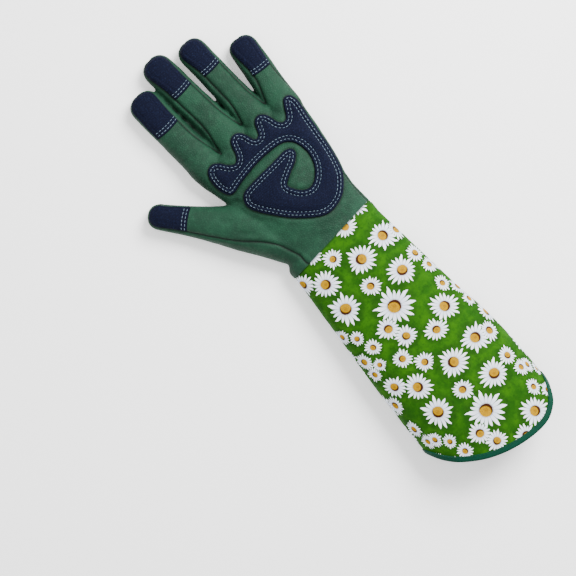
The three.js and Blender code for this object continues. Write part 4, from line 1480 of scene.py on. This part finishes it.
def daisy_cloth(name):
    """Daisies on green. The petals, the ground, the white and the disc follow one another."""
    m = Maker(name, 0.78)
    x, y, kind = m.apart(m.stored("daisy"))
    kind = (kind + 0.5).maths("FLOOR")
    place = m.place()
    seed = (kind * 12.9898).sine() * 43.7
    wander = m.noise(m.together(x * 2.2, y * 2.2, kind), 1.0, 2.0, 0.5) - 0.5
    centre_far = (x * x + y * y) ** 0.5
    far = centre_far + wander * 0.05
    angle = y.maths("ARCTAN2", x) + wander * 0.28
    petals = 16.0 + (seed.maths("FRACT") * 3.0).maths("FLOOR")
    turn = angle * petals / (2 * math.pi) + seed
    number = turn.maths("FLOOR")
    off = abs(turn.maths("FRACT") - 0.5) * 2.0
    petal_of = m.together(number.maths("FLOORED_MODULO", petals), kind)
    chance = m.add("ShaderNodeTexWhiteNoise", {"noise_dimensions": "2D"}, vector=petal_of)
    reach = 0.7 + 0.3 * chance
    past = ((far - 0.44) / (reach - 0.44)).most(0.0).least(1.0)
    width = (1.0 - past**1.35).most(0.0) ** 0.86
    petal = (width - off * 0.97).ramp(-0.03, 0.09)
    petal = petal * (reach - far).ramp(-0.01, 0.03)
    whole = (kind - 0.5).ramp(0.0, 0.1)
    petal = petal * whole

    ground = m.mix(m.noise(place, 90.0, 4.0, 0.65).ramp(0.35, 0.68), rgb(22, 68, 1), rgb(38, 88, 2))
    ground = m.mix(m.noise(place, 330.0, 3.0, 0.7).ramp(0.48, 0.72) * 0.5, ground, rgb(14, 52, 1))
    shade = (1.0 - (far - 0.92).ramp(0.0, 0.22)) * whole * 0.35
    ground = m.mix(shade, ground, rgb(14, 44, 5))

    white = m.mix(far.ramp(0.3, 0.95), rgb(205, 212, 228), rgb(244, 248, 252))
    between = off.ramp(0.66, 1.0) * (1.0 - far.ramp(0.62, 0.86))
    white = m.mix(between * 0.5, white, rgb(112, 128, 132))
    vein = (1.0 - off.ramp(0.03, 0.2)) * (1.0 - far.ramp(0.5, 0.85))
    white = m.mix(vein * 0.2, white, rgb(170, 178, 204))
    rim = (off / (width + 0.02)).ramp(0.7, 1.0) * far.ramp(0.5, 0.7)
    white = m.mix(rim * 0.35, white, rgb(186, 200, 190))
    colour = m.mix(petal, ground, white)

    disc_far = far + (m.noise(m.together(x * 9.0, y * 9.0, kind), 1.0, 2.0, 0.6) - 0.5) * 0.05
    disc = (1.0 - disc_far.ramp(0.295, 0.322)) * whole
    ring = (1.0 - disc_far.ramp(0.322, 0.37)) * whole
    colour = m.mix(ring * 0.55, colour, rgb(120, 112, 92))
    grains = m.noise(m.together(x * 22.0, y * 22.0, kind), 1.0, 2.0, 0.6)
    gold = m.mix(grains.ramp(0.35, 0.65), rgb(136, 98, 0), rgb(170, 128, 0))
    lit = seed * 1.7
    shadow_x, shadow_y = x - lit.sine() * 0.1, y - (lit + 1.57).sine() * 0.1
    crescent = ((shadow_x * shadow_x + shadow_y * shadow_y) ** 0.5).ramp(0.235, 0.3)
    gold = m.mix(crescent, gold, rgb(48, 20, 4))
    gold = m.mix((1.0 - centre_far.ramp(0.04, 0.15)) * 0.45, gold, rgb(112, 74, 0))
    colour = m.mix(disc, colour, gold)
    # Darkened where the seam attribute is high: dark seam lines with painted shade in their grooves.
    colour = m.mix(m.stored("seam", 2).ramp(0.15, 0.95) * 0.7, colour, rgb(14, 40, 14))

    u, v, _ = m.apart(m.stored("lay"))
    weave = (u * 9.0).sine() * 0.5 + (v * 9.0).sine() * 0.5
    return m.finish(colour, weave * 0.6 + m.noise(place, 420.0, 3.0, 0.6) * 1.6, 0.35, 0.0003)


daisies = daisy_cloth("daisy print")


def tape_cloth(name):
    m = Maker(name, 0.6)
    around, along, _ = m.apart(m.stored("lay"))
    ribs = (along * 5.6).sine() * 0.5 + 0.5
    wear = m.noise(m.place(), 120.0, 3.0, 0.6)
    colour = m.mix(ribs * 0.5 + wear * 0.5, rgb(0, 36, 26), rgb(0, 62, 44))
    return m.finish(colour, ribs + wear * 0.5, 0.5, 0.0003)


def plain_cloth(name, first, second, scale, roughness=0.85, bump=0.0003):
    m = Maker(name, roughness)
    grain = m.noise(m.place(), scale, 3.0, 0.6)
    return m.finish(m.mix(grain.ramp(0.35, 0.65), first, second), grain, 0.6, bump)


tape = tape_cloth("green tape")
hooks = plain_cloth("black hooks", rgb(5, 5, 6), rgb(26, 26, 28), 1500.0, 0.8, 0.0008)
lining = plain_cloth("grey lining", rgb(96, 98, 100), rgb(126, 128, 130), 700.0)
thread_blue = plain_cloth("blue thread", rgb(78, 96, 110), rgb(108, 124, 134), 2000.0, 0.6)
thread_green = plain_cloth("green thread", rgb(16, 46, 30), rgb(30, 68, 44), 2000.0, 0.6)


def finished(piece, *materials):
    piece.data.materials.clear()
    for material in materials:
        piece.data.materials.append(material)


for name, piece in hand_pieces.items():
    finished(piece, daisies if name == "back_panel" else green_leather)
for piece, *_ in patches:
    finished(piece, navy)
finished(pad, navy)
finished(band, dark_leather)
for piece, faces in cuff_pieces.values():
    finished(piece, daisies, lining)
    inner_side = np.zeros(len(piece.data.polygons), dtype=np.int32)
    inner_side[faces:2 * faces] = 1
    piece.data.polygons.foreach_set("material_index", inner_side)
finished(binding, tape)
finished(strap_tape, tape)
finished(strap, daisies)
finished(hook, hooks)
for name in ("pad", "patch"):
    finished(bpy.data.objects[name + "_stitching"], thread_blue)
for name in ("band", "cap", "tape"):
    finished(bpy.data.objects[name + "_stitching"], thread_green)


# Floor, light and camera

# Each lamp: its place, its size and its power.
LAMPS = {"key": ((0.9, 0.25, 1.0), 0.7, 52.0), "fill": ((-0.7, 0.6, 1.2), 1.2, 6.0)}
FLOOR_GLOW = 0.4
SKY_LIGHT = 1.1


def floor_and_light():
    bpy.ops.mesh.primitive_plane_add(size=6.0, location=(0, 0, 0))
    floor = bpy.context.active_object
    floor.name = "floor"
    m = Maker("pale floor", 0.9)
    m.surface.inputs["Emission Color"].default_value = rgb(255, 255, 255)
    m.surface.inputs["Emission Strength"].default_value = FLOOR_GLOW
    finished(floor, m.finish(rgb(252, 252, 252)))
    world = bpy.data.worlds.new("studio")
    bpy.context.scene.world = world
    world.use_nodes = True
    sky = world.node_tree.nodes["Background"]
    sky.inputs["Color"].default_value = (1, 1, 1, 1)
    sky.inputs["Strength"].default_value = SKY_LIGHT
    for name, (place, size, power) in LAMPS.items():
        light = bpy.data.lights.new(name, "AREA")
        light.size, light.energy = size, power
        lamp = bpy.data.objects.new(name, light)
        bpy.context.scene.collection.objects.link(lamp)
        lamp.location = place
        lamp.rotation_euler = (Vector((0, 0, 0.02)) - lamp.location).to_track_quat("-Z", "Y").to_euler()


floor_and_light()
camera_data = bpy.data.cameras.new("camera")
camera_data.lens = 100.0
camera_data.sensor_width = 36.0
camera = bpy.data.objects.new("camera", camera_data)
bpy.context.scene.collection.objects.link(camera)
camera.location = (-0.0310, -0.0007, 1.295)
camera.rotation_euler = (0, 0, math.radians(-39))
bpy.context.scene.camera = camera

for piece in list(bpy.data.objects):
    if piece.name in ("Cube", "Light", "Camera"):
        bpy.data.objects.remove(piece)
